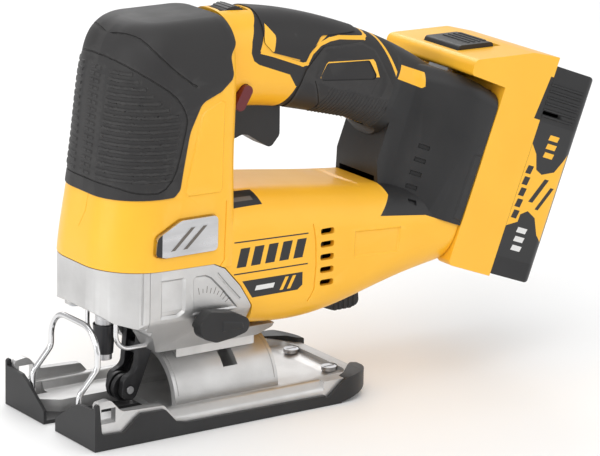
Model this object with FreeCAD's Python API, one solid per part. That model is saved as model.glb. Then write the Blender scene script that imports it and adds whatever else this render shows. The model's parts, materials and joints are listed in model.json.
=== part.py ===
import FreeCAD, Part
import math
import os

# Cordless jigsaw with a closed top handle.  Millimetres.
# Frame: X = 0 is the blade axis, -X is the cutting direction and +X points to
# the battery; Y = 0 is the plane between the two housing halves; Z = 0 is the
# sole that slides on the work, +Z is up.

# ---------------------------------------------------------------- driving sizes
NOSE_HALF_WIDTH = 37.0          # housing, at the foot of the nose
NOSE_TOP_HALF_WIDTH = 31.0
NOSE_FRONT_X = -17.4            # front of the nose where housing and gearcase meet
NOSE_LEAN = 0.135               # how far the front leans back per mm of height
NOSE_FRONT_RADIUS = 28.0
NOSE_REAR_X = 54.0
NOSE_BREAK_Z = 84.0             # below this the nose front is upright
NOSE_TOP_Z = 200.5
HOUSING_WALL = 3.0
PAD_DEPTH = 1.4                 # soft grip let into the housing wall
PAD_PROUD = 0.6                 # soft grip above the housing surface

MOTOR_HALF_WIDTH = 36.0
MOTOR_AXIS_Z = 76.0

HANDLE_HALF_WIDTH = 19.0
HANDLE_HEIGHT = 49.0

BATTERY_TILT = 20.3             # battery leans back from upright, degrees
BATTERY_HALF_WIDTH = 37.5
MOUNT_PLANE = 149.6             # tool side of the battery joint, along the battery normal
BATTERY_GAP = 0.5
BATTERY_BACK = 208.2
BATTERY_FOOT_T = 120.5          # ends of the pack, along the battery's own length
BATTERY_HEAD_T = 237.0
FOOT_DEPTH = 2.9                # battery foot let into the rear of the tool
FOOT_HALF_WIDTH = 33.0
FOOT_T = (131.0, 206.0)
CASE_SPLIT = 179.0              # seam between pack cover and pack case
PACK_WALL = 2.3

SHOE_FRONT_X = -31.0
SHOE_REAR_X = 137.0
SHOE_HALF_WIDTH = 43.0
SHOE_CORNER = 20.0              # plan radius of the two rear corners
COVER_WALL = 1.8                # side wall of the slip-on cover
SOLE_THICKNESS = 1.8            # slip-on cover under the cast plate
PLATE_TOP_Z = 8.0
BEVEL_AXIS_Z = 8.0
SADDLE_RADIUS = 27.0
SADDLE_X = (25.0, 86.0)
SADDLE_GAP = 0.3

STROKE = 26.0
REST_BELOW_CENTRE = 10.0        # the plunger stands this far under mid stroke
PLUNGER_RADIUS = 4.5
CLAMP_RADIUS = 5.6
CLAMP_FOOT_Z = 30.6
CLAMP_HEAD_Z = 48.6

GEAR_MODULE = 1.0
PINION_TEETH = 10
GEAR_TEETH = 46
GEAR_X = (19.0, 27.0)
RUNNING_CLEARANCE = 0.05        # radial, shafts in bushes and bearings

ROLLER_X = 10.3
ROLLER_Z = 14.6
ROLLER_RADIUS = 7.0
FORK_PIVOT = (20.5, 41.0)

SCREW_HEAD_RADIUS = 3.2
SCREW_SHANK_RADIUS = 1.6
SCREW_LENGTH = 24.0             # length left of the centre plane counts double
HEAD_DEPTH = 5.0                # screw heads sit this far under the housing skin
BOSS_RADIUS = 4.4
SCREW_SPOTS = [(45.0, 186.0, 30.0), (24.0, 152.0, 33.0), (67.0, 105.6, 28.0), (121.0, 100.2, 28.0),
               (169.0, 76.0, 35.0), (172.0, 150.0, 17.5)]

LEVER_X = (5.5, 41.0)
LEVER_Z = (89.5, 107.0)
LEVER_Y = (-38.1, -36.0)
LEVER_FLOOR_Y = -35.2           # floor of the recess behind the lever

TRIGGER_HALF_WIDTH = 6.2
TRIGGER_PIVOT = (62.5, 146.0)
LOCK_CENTRE = (65.6, 158.8)
LOCK_LENGTH = 13.5
LOCK_WIDTH = 6.0
LOCK_REACH = 22.6               # half the button's length across the handle
DIAL_AXIS = (69.0, 193.2)
DIAL_RADIUS = 8.2
DIAL_HALF_WIDTH = 6.5

KNOB_AXIS = (35.0, 52.5)
BEVEL_BOLT_X = 60.0
BEVEL_LEVER_END_X = 147.5
BOLT_RADIUS = 3.0
ARM_Z = (39.6, 42.2)            # bevel lever's flat arm

# ---------------------------------------------------------------- derived sizes
GEAR_AXIS_Z = MOTOR_AXIS_Z + GEAR_MODULE * (PINION_TEETH + GEAR_TEETH) / 2
CRANK_RADIUS = STROKE / 2
CRANK_ANGLE = math.asin(REST_BELOW_CENTRE / CRANK_RADIUS)
YOKE_Z = GEAR_AXIS_Z - REST_BELOW_CENTRE
EDGE_SHARE = 0.998              # most of an edge that the rounds at its two ends may take up


# ---------------------------------------------------------------- small helpers
def vec(x, y, z):
    return FreeCAD.Vector(x, y, z)


def box(x, y, z):
    """Box between three (low, high) pairs."""
    return Part.makeBox(x[1] - x[0], y[1] - y[0], z[1] - z[0], vec(x[0], y[0], z[0]))


def rod(start, end, radius):
    return Part.makeCylinder(radius, (end - start).Length, start, end - start)


def tube(start, end, outer, inner):
    return rod(start, end, outer).cut(rod(start, end, inner))


def in_xz(y):
    return lambda u, v: vec(u, y, v)


def in_xy(z):
    return lambda u, v: vec(u, v, z)


def in_yz(x):
    return lambda u, v: vec(x, u, v)


def rounded_wire(corners, place):
    """Closed wire through (u, v, radius) corners.

    Each corner is rounded by its own radius.  Where two neighbouring rounds need
    more than the edge between them, both are scaled to fit that edge.
    """
    count = len(corners)
    points = [vec(u, v, 0) for u, v, _ in corners]
    lengths = [(points[(index + 1) % count] - points[index]).Length for index in range(count)]
    halves = []
    reaches = []
    for index in range(count):
        before = points[index - 1] - points[index]
        after = points[(index + 1) % count] - points[index]
        halves.append(before.getAngle(after) / 2)
        reaches.append(corners[index][2] / math.tan(halves[index]))
    shares = []
    for index in range(count):
        needed = reaches[index] + reaches[(index + 1) % count]
        shares.append(EDGE_SHARE * lengths[index] / needed if needed > EDGE_SHARE * lengths[index] else 1.0)
    joins = []
    for index in range(count):
        here = points[index]
        reach = reaches[index] * min(shares[index - 1], shares[index])
        if reach == 0:
            joins.append((here, None, here))
            continue
        before = points[index - 1] - here
        after = points[(index + 1) % count] - here
        before.normalize()
        after.normalize()
        inward = before + after
        inward.normalize()
        radius = reach * math.tan(halves[index])
        middle = here + inward * (radius / math.sin(halves[index]) - radius)
        joins.append((here + before * reach, middle, here + after * reach))
    edges = []
    for index, (start, middle, end) in enumerate(joins):
        if middle is not None:
            arc = [place(p.x, p.y) for p in (start, middle, end)]
            edges.append(Part.Arc(*arc).toShape())
        following = joins[(index + 1) % len(joins)][0]
        if (following - end).Length > 1e-6:
            edges.append(Part.makeLine(place(end.x, end.y), place(following.x, following.y)))
    return Part.Wire(edges)


def sharp(points):
    return [(u, v, 0) for u, v in points]


def side_prism(corners, y):
    wire = rounded_wire(corners, in_xz(y[0]))
    return Part.Face(wire).extrude(vec(0, y[1] - y[0], 0))


def plan_prism(corners, z):
    wire = rounded_wire(corners, in_xy(z[0]))
    return Part.Face(wire).extrude(vec(0, 0, z[1] - z[0]))


def end_prism(corners, x):
    wire = rounded_wire(corners, in_yz(x[0]))
    return Part.Face(wire).extrude(vec(x[1] - x[0], 0, 0))


def rectangle(u, v, radius):
    return [(u[0], v[0], radius), (u[1], v[0], radius), (u[1], v[1], radius), (u[0], v[1], radius)]


def slanted_slot(centre, length, width, grow):
    """Long round-ended outline leaning 60 degrees back, grown all round by grow."""
    along = vec(math.cos(math.radians(60.0)), math.sin(math.radians(60.0)), 0)
    across = vec(-along.y, along.x, 0)
    middle = vec(centre[0], centre[1], 0)
    half_length = along * (length / 2 + grow)
    half_width = across * (width / 2 + grow)
    points = [middle - half_length - half_width, middle + half_length - half_width,
              middle + half_length + half_width, middle - half_length + half_width]
    return [(p.x, p.y, (width / 2 + grow) * 0.98) for p in points]


def bent_rod(points, radii, radius):
    """Round rod along straight runs joined by tangent arcs at the inner points."""
    edges = []
    start = points[0]
    for index in range(1, len(points) - 1):
        corner = points[index]
        before = points[index - 1] - corner
        after = points[index + 1] - corner
        half = before.getAngle(after) / 2
        before.normalize()
        after.normalize()
        bend = radii[index - 1]
        inward = before + after
        inward.normalize()
        arc = [corner + before * (bend / math.tan(half)),
               corner + inward * (bend / math.sin(half) - bend),
               corner + after * (bend / math.tan(half))]
        edges.append(Part.makeLine(start, arc[0]))
        edges.append(Part.Arc(*arc).toShape())
        start = arc[2]
    edges.append(Part.makeLine(start, points[-1]))
    profile = Part.Wire(Part.makeCircle(radius, points[0], points[1] - points[0]))
    return Part.Wire(edges).makePipeShell([profile], True, True)


def joined(shapes):
    whole = shapes[0]
    for shape in shapes[1:]:
        whole = whole.fuse(shape)
    return whole.removeSplitter()


def minus(shape, cutters):
    for cutter in cutters:
        shape = shape.cut(cutter)
    return shape


def leaned(shape):
    """Turn a shape drawn along the battery's normal (x) and length (z) into the tool's frame."""
    turned = shape.copy()
    turned.rotate(vec(0, 0, 0), vec(0, 1, 0), BATTERY_TILT)
    return turned


LEFT = box((-200, 400), (-200, 0), (-200, 400))
RIGHT = box((-200, 400), (0, 200), (-200, 400))


def save(name, shape):
    """Write one node; a list becomes a group of separate solids."""
    whole = Part.makeCompound(shape) if isinstance(shape, list) else shape
    solids = [solid for solid in whole.Solids if solid.Volume > 0.5]
    Part.makeCompound(solids).exportStep("parts/" + name + ".step")
    print(name, len(solids), [round(solid.Volume) for solid in solids][:6])


# ---------------------------------------------------------------- housing forms
def nose_section(z, inset, shrink=0.0):
    """Plan section of the nose at height z, drawn in by inset all round."""
    rise = max(0.0, z - NOSE_BREAK_Z)
    taper = rise / (NOSE_TOP_Z - NOSE_BREAK_Z)
    front = NOSE_FRONT_X + NOSE_LEAN * rise + inset + shrink
    rear = NOSE_REAR_X + 4.0 * taper - inset - shrink * 0.3
    half = NOSE_HALF_WIDTH + (NOSE_TOP_HALF_WIDTH - NOSE_HALF_WIDTH) * taper - inset - shrink
    front_radius = NOSE_FRONT_RADIUS + (half - NOSE_HALF_WIDTH) * 0.9
    corners = [(front, -half, front_radius), (rear, -half, 7.0),
               (rear, half, 7.0), (front, half, front_radius)]
    return rounded_wire(corners, in_xy(z))


def nose_form(inset=0.0, low=NOSE_BREAK_Z - 4.0):
    stations = [(low, 0.0), (NOSE_BREAK_Z + 16.0, 0.0), (NOSE_TOP_Z - 40.0, 0.0),
                (NOSE_TOP_Z - 17.0, 0.7), (NOSE_TOP_Z - 8.0, 3.0), (NOSE_TOP_Z - 2.6, 7.4),
                (NOSE_TOP_Z, 14.0)]
    sections = [nose_section(z, inset, shrink) for z, shrink in stations]
    form = Part.makeLoft(sections, True)
    if inset:
        form = form.common(box((-90, 200), (-90, 90), (low - 1.0, NOSE_TOP_Z - inset)))
    return form


def motor_section(x, low, high, inset):
    half = MOTOR_HALF_WIDTH - inset
    low_corner = 15.0 - inset
    high_corner = 21.0 - inset
    corners = [(-half, low + inset, low_corner), (half, low + inset, low_corner),
               (half, high - inset, high_corner), (-half, high - inset, high_corner)]
    return rounded_wire(corners, in_yz(x))


def motor_form(inset=0.0):
    stations = [(36.0, 42.0, 114.0), (80.0, 43.5, 112.0), (118.0, 46.0, 107.5),
                (146.0, 53.0, 104.5), (172.0, 58.5, 103.0), (205.0, 66.0, 103.0)]
    sections = [motor_section(x, low, high, inset) for x, low, high in stations]
    form = Part.makeLoft(sections, True)
    beyond = leaned(box((MOUNT_PLANE - inset, 400), (-90, 90), (-200, 500)))
    return form.cut(beyond)


def handle_section(x, z, angle, height, half, inset):
    """Rounded section across the handle, square to its centre line."""
    along = math.radians(angle)
    half_width = half - inset
    half_height = height / 2 - inset
    corner = half_width * 0.86

    def place(u, v):
        return vec(x + v * math.sin(along), u, z + v * math.cos(along))

    return rounded_wire(rectangle((-half_width, half_width), (-half_height, half_height), corner), place)


def handle_form(inset=0.0):
    stations = [(40.0, 175.5, 0.0, 48.0, 21.0), (72.0, 175.2, 3.0, HANDLE_HEIGHT, 20.0),
                (98.0, 171.6, 11.0, 48.0, HANDLE_HALF_WIDTH), (124.0, 164.8, 17.0, 47.0, 18.5),
                (144.0, 157.6, 23.0, 46.5, 18.5), (164.0, 147.4, 29.0, 47.0, 19.0),
                (184.0, 134.0, 33.0, 48.0, 20.0)]
    sections = [handle_section(*station, inset) for station in stations]
    return Part.makeLoft(sections, True)


def rear_form(inset=0.0):
    """Black rear housing: post behind the hand hole, widening to the battery joint."""
    stations = [(100.9, 133.0, 212.0, 17.5), (110.0, 132.0, 213.5, 19.5), (120.0, 131.0, 214.5, 27.0),
                (129.0, 130.0, 214.5, 34.0), (138.0, 128.5, 213.5, 36.8), (MOUNT_PLANE, 127.0, 211.0, 37.2)]
    sections = []
    for normal, low, high, half in stations:
        sections.append(rounded_wire(
            rectangle((-half + inset, half - inset), (low + inset, high - inset), 8.0 - inset * 0.6),
            in_yz(normal)))
    form = Part.makeLoft(sections, True, True)
    ends = (stations[0][0] + inset, MOUNT_PLANE - inset)
    return leaned(form.common(box(ends, (-90, 90), (-200, 500))))


# ---------------------------------------------------------------- side-view regions
HOUSING_FOOT = [(-40.0, 83.6), (40.0, 82.2), (47.0, 79.0), (56.0, 69.0), (63.2, 57.5), (64.0, 50.0),
                (66.5, 40.0)]
NOSE_GRIP = [(-40.0, 117.4, 0), (17.5, 118.2, 3.0), (21.0, 121.5, 4.0), (27.0, 149.0, 20.0),
             (34.0, 162.5, 8.0), (45.0, 166.8, 5.0), (52.6, 173.0, 5.0), (51.0, 184.0, 5.0),
             (61.0, 193.0, 5.0), (54.0, 215.0, 0), (-40.0, 215.0, 0)]
TOP_GRIP = [(80.5, 215.0, 0), (78.5, 184.5, 3.0), (84.0, 179.0, 4.0), (103.0, 172.8, 3.0),
            (114.0, 184.0, 4.0), (141.0, 182.5, 3.0), (146.0, 215.0, 0)]
HANDLE_GRIP = [(100.5, 125.0, 0), (96.0, 143.0, 5.0), (99.5, 158.0, 8.0), (104.5, 168.0, 3.0),
               (115.0, 178.5, 4.0), (140.0, 177.5, 3.0), (147.5, 173.5, 3.0), (158.5, 152.0, 4.0),
               (190.0, 138.0, 0), (190.0, 100.0, 0)]
HANDLE_BADGE = [(112.0, 161.5, 2.0), (117.0, 170.0, 2.0), (143.0, 168.6, 2.0), (149.0, 158.0, 2.0)]
REAR_EDGE = [(150.5, 100.0), (141.0, 91.8), (169.0, 88.6), (187.0, 81.6), (260.0, 53.0), (260.0, 260.0),
             (186.0, 260.0), (163.5, 168.5), (157.5, 151.5), (150.0, 133.0)]


def side_pair(shape):
    return shape.common(LEFT), shape.common(RIGHT)


def build_housing():
    """Two clamshell halves, their grips and the rear covers."""
    outer = [nose_form(), motor_form(), handle_form()]
    inner = [nose_form(HOUSING_WALL), motor_form(HOUSING_WALL), handle_form(HOUSING_WALL)]
    width = (-60.0, 60.0)
    foot = side_prism(sharp(HOUSING_FOOT + [(66.5, 0.0), (-40.0, 0.0)]), width)
    rear = side_prism(sharp(REAR_EDGE), width)
    hole = side_prism([(57.6, 144.0, 9.0), (55.0, 113.6, 5.0), (101.0, 110.4, 30.0), (138.0, 104.4, 4.0),
                       (148.6, 112.5, 10.0), (155.0, 130.0, 6.0), (133.0, 139.4, 20.0),
                       (97.0, 148.2, 12.0), (63.0, 151.4, 6.0)], width)
    shells = joined(outer)
    hollow = joined(inner)
    pillars = bosses()

    pads = {}
    proud = nose_form(-PAD_PROUD)
    seat = nose_form(PAD_DEPTH)
    pads["nose_grip"] = side_prism(NOSE_GRIP, width), proud, seat
    handle_skin = handle_form(-PAD_PROUD).cut(nose_form(-PAD_PROUD))
    handle_seat = handle_form(PAD_DEPTH)
    pads["top_grip"] = side_prism(TOP_GRIP, width), handle_skin, handle_seat
    grip = side_prism(HANDLE_GRIP, width).cut(side_prism(HANDLE_BADGE, width)).cut(rear)
    pads["handle_grip"] = grip, handle_skin, handle_seat

    body = shells.cut(hollow)
    body = joined([body] + [pillar.common(shells) for pillar in pillars[:-1]])
    body = body.cut(foot).cut(rear).cut(hole)
    for region, _, under in pads.values():
        body = body.cut(region.cut(under))
    rear_outer = joined([rear_form(), handle_form(), motor_form()]).common(rear)
    rear_inner = joined([rear_form(HOUSING_WALL), handle_form(HOUSING_WALL), motor_form(HOUSING_WALL)])
    cover = rear_outer.cut(rear_inner)
    cover = cover.fuse(pillars[-1].common(rear_outer)).cut(hole)
    latch_slot = box((130.9, 141.6), (-8.5, 8.5), (208.0, 230.0))
    seat_half = FOOT_HALF_WIDTH + 0.2
    foot_seat = leaned(box((MOUNT_PLANE - FOOT_DEPTH - 0.05, 200.0), (-seat_half, seat_half),
                           (FOOT_T[0] - 0.2, FOOT_T[1] + 0.2)))
    cover = minus(cover, [leaned(latch_slot), foot_seat] + screw_holes())

    slots = housing_openings() + screw_holes() + [foot_seat]
    body = minus(body, slots)
    left, right = side_pair(body)
    save("housing_left", left)
    save("housing_right", right)
    for name, (region, skin, under) in pads.items():
        pad = skin.common(region).cut(under).cut(hole)
        pad = minus(pad, slots)
        left, right = side_pair(pad)
        save(name + "_left", left)
        save(name + "_right", right)
    cover_left, cover_right = side_pair(cover)
    save("rear_cover_left", cover_left)
    save("rear_cover_right", cover_right)


def bosses():
    return [rod(vec(x, -38, z), vec(x, 38, z), BOSS_RADIUS) for x, z, _ in SCREW_SPOTS]


def screw_holes():
    cuts = []
    for x, z, skin in SCREW_SPOTS:
        cuts.append(rod(vec(x, -SCREW_LENGTH / 2, z), vec(x, 60, z), SCREW_SHANK_RADIUS))
        cuts.append(rod(vec(x, skin - HEAD_DEPTH, z), vec(x, 60, z), SCREW_HEAD_RADIUS + 0.3))
    return cuts


def build_screws():
    screws = []
    for x, z, skin in SCREW_SPOTS:
        seat = skin - HEAD_DEPTH
        screw = rod(vec(x, -SCREW_LENGTH / 2, z), vec(x, seat, z), SCREW_SHANK_RADIUS)
        head = rod(vec(x, seat, z), vec(x, seat + 2.2, z), SCREW_HEAD_RADIUS)
        socket = rod(vec(x, seat + 1.0, z), vec(x, seat + 3.0, z), 1.5)
        screws.append(screw.fuse(head).cut(socket).removeSplitter())
    save("housing_screws", screws)


def housing_openings():
    """Vents, and the windows for the trigger, the dial, the lock-off button and the lever."""
    cuts = []
    for row in range(5):
        z = 61.0 + 6.6 * row
        for side in (-1, 1):
            slot = rectangle((103.6, 111.8), (z, z + 3.2), 1.2)
            cuts.append(side_prism(slot, (side * 40.0, side * 30.0)))
    cuts.append(box((59.0, 98.8), (-TRIGGER_HALF_WIDTH - 0.4, TRIGGER_HALF_WIDTH + 0.4), (138.0, 162.0)))
    dial_half = DIAL_HALF_WIDTH + 0.5
    cuts.append(box((DIAL_AXIS[0] - 8.4, DIAL_AXIS[0] + 8.4), (-dial_half, dial_half),
                    (DIAL_AXIS[1] - 1.0, 215.0)))
    cuts.append(side_prism(slanted_slot(LOCK_CENTRE, LOCK_LENGTH, LOCK_WIDTH, 0.3), (-40.0, 40.0)))
    cuts.append(side_prism(lever_outline(0.5), (-60.0, LEVER_FLOOR_Y)))
    return cuts


# ---------------------------------------------------------------- trigger and controls
def build_controls():
    half = (-TRIGGER_HALF_WIDTH, TRIGGER_HALF_WIDTH)
    trigger = side_prism([(59.9, 151.2, 1.2), (61.5, 141.0, 4.0), (70.0, 134.0, 4.0), (77.0, 136.6, 7.0),
                          (86.0, 130.8, 5.0), (92.5, 127.0, 3.0), (98.0, 133.0, 4.0), (97.8, 150.0, 3.0),
                          (94.0, 158.0, 2.0), (76.0, 158.0, 2.0), (74.4, 151.2, 1.0)], half)
    trigger = trigger.cut(rod(vec(TRIGGER_PIVOT[0], -9, TRIGGER_PIVOT[1]),
                              vec(TRIGGER_PIVOT[0], 9, TRIGGER_PIVOT[1]), 1.5 + RUNNING_CLEARANCE))
    save("trigger", trigger)
    save("trigger_spring", tube(vec(89, 0, 158.2), vec(89, 0, 163.8), 2.6, 1.8))
    switch = box((78.0, 104.0), (-9.5, 9.5), (164.0, 180.0))
    switch = switch.fuse(rod(vec(82, 0, 164.0), vec(82, 0, 163.2), 2.5))
    save("trigger_switch", switch)
    button = side_prism(slanted_slot(LOCK_CENTRE, LOCK_LENGTH, LOCK_WIDTH, 0.0), (-LOCK_REACH, LOCK_REACH))
    save("lock_off_button", button)
    dial_axis = [vec(DIAL_AXIS[0], side * DIAL_HALF_WIDTH, DIAL_AXIS[1]) for side in (-1, 1)]
    dial = rod(*dial_axis, DIAL_RADIUS)
    for tooth in range(24):
        angle = 2 * math.pi * tooth / 24
        groove = vec(DIAL_AXIS[0] + (DIAL_RADIUS + 0.3) * math.cos(angle), -20,
                     DIAL_AXIS[1] + (DIAL_RADIUS + 0.3) * math.sin(angle))
        dial = dial.cut(rod(groove, groove + vec(0, 40, 0), 0.6))
    dial = dial.cut(rod(*dial_axis, 2.0 + RUNNING_CLEARANCE))
    save("speed_dial", dial)
    save("control_module", box((128.0, 160.0), (-24.0, 24.0), (63.0, 90.0)))


# ---------------------------------------------------------------- gearcase
GEARCASE_HALF_WIDTH = 36.2
GEARCASE_SEAM_X = 4.0
GEARCASE_SIDE = [(-40.0, 83.2, 0), (40.0, 81.8, 0), (46.6, 78.6, 0), (55.5, 68.7, 0), (62.7, 57.4, 0),
                 (63.5, 50.0, 0), (65.2, 42.6, 0), (84.0, 42.6, 0), (84.0, 40.0, 1.5), (77.0, 36.0, 3.0),
                 (17.0, 36.0, 3.0), (11.0, 46.0, 4.0), (3.5, 53.0, 4.0), (-11.0, 57.0, 5.0),
                 (-19.0, 63.0, 5.0), (-40.0, 66.0, 0)]
LOWER_BUSH_Z = (73.0, 81.5)
UPPER_BUSH_Z = (126.5, 131.0)
BUSH_OUTER = 6.4
WELL_REAR_X = 8.5               # the nose is open underneath, round the blade clamp
WELL_HALF_WIDTH = 31.0
LAMP_BOSS_RADIUS = 4.6
GUARD_ROOT_Z = 76.5             # the finger-guard wires are let into the case up to here
FAN_RADIUS = 22.0
SHAFT_RADIUS = 3.0
FRONT_BEARING_X = (47.0, 54.0)
REAR_BEARING_X = (114.0, 120.0)
BEARING_OUTER = 9.5
LAMP_FOOT = vec(-7.0, 17.0, 54.6)
LAMP_RADIUS = 2.8
GUARD_HALF_WIDTH = 13.4         # inside the sweep of the shoe's raised flanks
GUARD_WIRE = 1.2


def gearcase_blank(inset):
    """Outer form of the cast gear housing, drawn in by inset at the front and sides."""
    half = GEARCASE_HALF_WIDTH - inset
    plan = plan_prism([(NOSE_FRONT_X + 0.1 + inset, -half, NOSE_FRONT_RADIUS - 0.5 - inset),
                       (84.0, -half, 8.0), (84.0, half, 8.0),
                       (NOSE_FRONT_X + 0.1 + inset, half, NOSE_FRONT_RADIUS - 0.5 - inset)], (30.0, 84.0))
    ends = end_prism([(-half, 90.0, 0), (-half, 58.0, 12.0), (-half + 16.5, 35.0, 4.0),
                      (half - 16.5, 35.0, 4.0), (half, 58.0, 12.0), (half, 90.0, 0)], (-40.0, 90.0))
    return plan.common(ends)


def build_gearcase():
    width = (-60.0, 60.0)
    outer = gearcase_blank(0.0).common(side_prism(GEARCASE_SIDE, width))
    seam = box((-60.0, GEARCASE_SEAM_X), (-60, 60), (0, 200))
    cover = outer.common(seam).cut(gearcase_blank(3.0)).cut(box((-60, 60), (-60, 60), (20.0, 54.0)))
    rear = outer.cut(box((-60.0, GEARCASE_SEAM_X + 0.2), (-60, 60), (0, 200)))
    front = outer.common(gearcase_blank(3.2)).common(box((-60.0, GEARCASE_SEAM_X + 0.3), (-60, 60),
                                                         (LOWER_BUSH_Z[0], 200)))
    block = side_prism([(-8.0, 70.0, 0), (-8.0, 122.0, 0), (-6.6, 138.0, 0), (9.0, 138.0, 0),
                        (9.0, 70.0, 0)], (-12.0, 12.0))
    middle = side_prism([(1.0, 72.0, 0), (1.0, 138.0, 0), (9.0, 138.0, 0), (9.0, 72.0, 0)], (-21.5, 21.5))
    gear_shell = side_prism([(9.0, 72.0, 0), (9.0, 138.0, 0), (20.0, 138.0, 6.0), (40.0, 131.0, 8.0),
                             (46.0, 110.0, 8.0), (50.0, 90.0, 4.0), (50.0, 72.0, 0)], (-27.5, 27.5))
    carrier = tube(vec(40, 0, MOTOR_AXIS_Z), vec(55, 0, MOTOR_AXIS_Z), 13.0, BEARING_OUTER)
    carrier = carrier.fuse(tube(vec(40, 0, MOTOR_AXIS_Z), vec(46.5, 0, MOTOR_AXIS_Z), 12.0, 7.4))
    saddle_seat = box((32.0, 78.0), (-16.0, 16.0), (29.5, 40.0))
    saddle = rod(vec(0, 0, BEVEL_AXIS_Z), vec(100, 0, BEVEL_AXIS_Z), SADDLE_RADIUS + SADDLE_GAP)
    lugs = [side_prism([(15.5, 46.0, 0), (15.5, 38.5, 3.0), (24.5, 36.5, 3.0), (27.0, 46.0, 0)], y)
            for y in ((-13.0, -8.4), (8.4, 13.0))]
    case = joined([rear, front, block, middle, gear_shell, saddle_seat] + lugs)
    low_cavity = box((17.0, 58.0), (-26.0, 26.0), (46.0, 76.0))
    low_cavity = low_cavity.common(gearcase_blank(4.0))
    axis_z = GEAR_AXIS_Z
    cavities = [low_cavity,
                rod(vec(16, 0, axis_z), vec(31, 0, axis_z), 24.9),
                rod(vec(8, 0, MOTOR_AXIS_Z), vec(47, 0, MOTOR_AXIS_Z), 7.4),
                box((3.4, 16.2), (-19.2, 19.2), (82.0, 126.0)),
                box((-5.6, 16.2), (-9.2, 9.2), (82.0, 126.0)),
                rod(vec(56, 0, MOTOR_AXIS_Z), vec(100, 0, MOTOR_AXIS_Z), FAN_RADIUS + 1.0),
                rod(vec(0, 0, 30), vec(0, 0, 150), PLUNGER_RADIUS + 0.6),
                rod(vec(0, 0, LOWER_BUSH_Z[0]), vec(0, 0, LOWER_BUSH_Z[1]), BUSH_OUTER),
                box((-60.0, WELL_REAR_X), (-WELL_HALF_WIDTH, WELL_HALF_WIDTH), (20.0, LOWER_BUSH_Z[0])),
                rod(vec(0, 0, UPPER_BUSH_Z[0]), vec(0, 0, UPPER_BUSH_Z[1]), BUSH_OUTER),
                rod(vec(12, 0, axis_z), vec(60, 0, axis_z), 3.0),
                saddle,
                rod(vec(BEVEL_BOLT_X, 0, 20), vec(BEVEL_BOLT_X, 0, 60), BOLT_RADIUS + RUNNING_CLEARANCE),
                rod(vec(BEVEL_BOLT_X, 0, ARM_Z[0] - 0.4), vec(BEVEL_BOLT_X, 0, 46.5), 7.6),
                plan_prism([(BEVEL_BOLT_X - 4.0, 6.0, 0), (BEVEL_BOLT_X - 2.0, -7.4, 0), (80.0, -18.6, 0),
                            (90.0, -24.0, 0), (90.0, 6.0, 0)], (ARM_Z[0] - 0.4, 43.2)),
                rod(vec(FORK_PIVOT[0], -20, FORK_PIVOT[1]), vec(FORK_PIVOT[0], 20, FORK_PIVOT[1]), 1.5),
                box((8.0, 29.0), (-8.4, 8.4), (30.0, 50.0))]
    for side in (-1, 1):
        y = side * GUARD_HALF_WIDTH
        cavities.append(rod(vec(-1.5, y, 50), vec(-1.5, y, GUARD_ROOT_Z), GUARD_WIRE))
        cavities.append(rod(vec(10, y, 38.4), vec(20, y, 38.4), GUARD_WIRE))
    case = minus(case, cavities)
    lamp_boss = rod(LAMP_FOOT + vec(0, 0, 1.4), vec(LAMP_FOOT.x, LAMP_FOOT.y, LOWER_BUSH_Z[0] + 2.0),
                    LAMP_BOSS_RADIUS)
    case = joined([case, carrier, lamp_boss.cut(rod(LAMP_FOOT, LAMP_FOOT + vec(0, 0, 12.0), LAMP_RADIUS))])
    case = case.cut(rod(vec(17, 0, MOTOR_AXIS_Z), vec(60, 0, MOTOR_AXIS_Z), 5.9))
    case = case.cut(rod(vec(FRONT_BEARING_X[0], 0, MOTOR_AXIS_Z), vec(60, 0, MOTOR_AXIS_Z), BEARING_OUTER))
    case = case.cut(rod(vec(KNOB_AXIS[0], -60, KNOB_AXIS[1]), vec(KNOB_AXIS[0], -20, KNOB_AXIS[1]),
                        4.0 + RUNNING_CLEARANCE))
    save("gearcase", case)
    save("nose_cover", cover)
    bushes = [tube(vec(0, 0, low), vec(0, 0, high), BUSH_OUTER, PLUNGER_RADIUS + RUNNING_CLEARANCE)
              for low, high in (LOWER_BUSH_Z, UPPER_BUSH_Z)]
    save("plunger_bushes", bushes)
    knob_rim = side_prism([(27.6, 56.0, 5.0), (33.0, 60.6, 5.0), (47.4, 58.4, 6.0), (56.2, 54.0, 4.0),
                           (56.0, 47.6, 4.0), (47.4, 45.6, 8.0), (37.0, 44.4, 6.0), (28.2, 48.0, 5.0)],
                          (-44.5, -37.3))
    stem = rod(vec(KNOB_AXIS[0], -37.5, KNOB_AXIS[1]), vec(KNOB_AXIS[0], -24, KNOB_AXIS[1]), 4.0)
    save("orbit_selector", knob_rim.fuse(stem))


# ---------------------------------------------------------------- drive train
def gear_blank(teeth, root, tip, x, axis_z, phase):
    """Straight-toothed gear with slim trapezoid teeth, tooth zero at angle phase."""
    pitch = 2 * math.pi / teeth
    corners = []
    for tooth in range(teeth):
        middle = phase + tooth * pitch
        for radius, share in ((root, -0.27), (tip, -0.12), (tip, 0.12), (root, 0.27)):
            angle = middle + share * pitch
            corners.append((radius * math.cos(angle), axis_z + radius * math.sin(angle)))
    return end_prism(sharp(corners), x)


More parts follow.
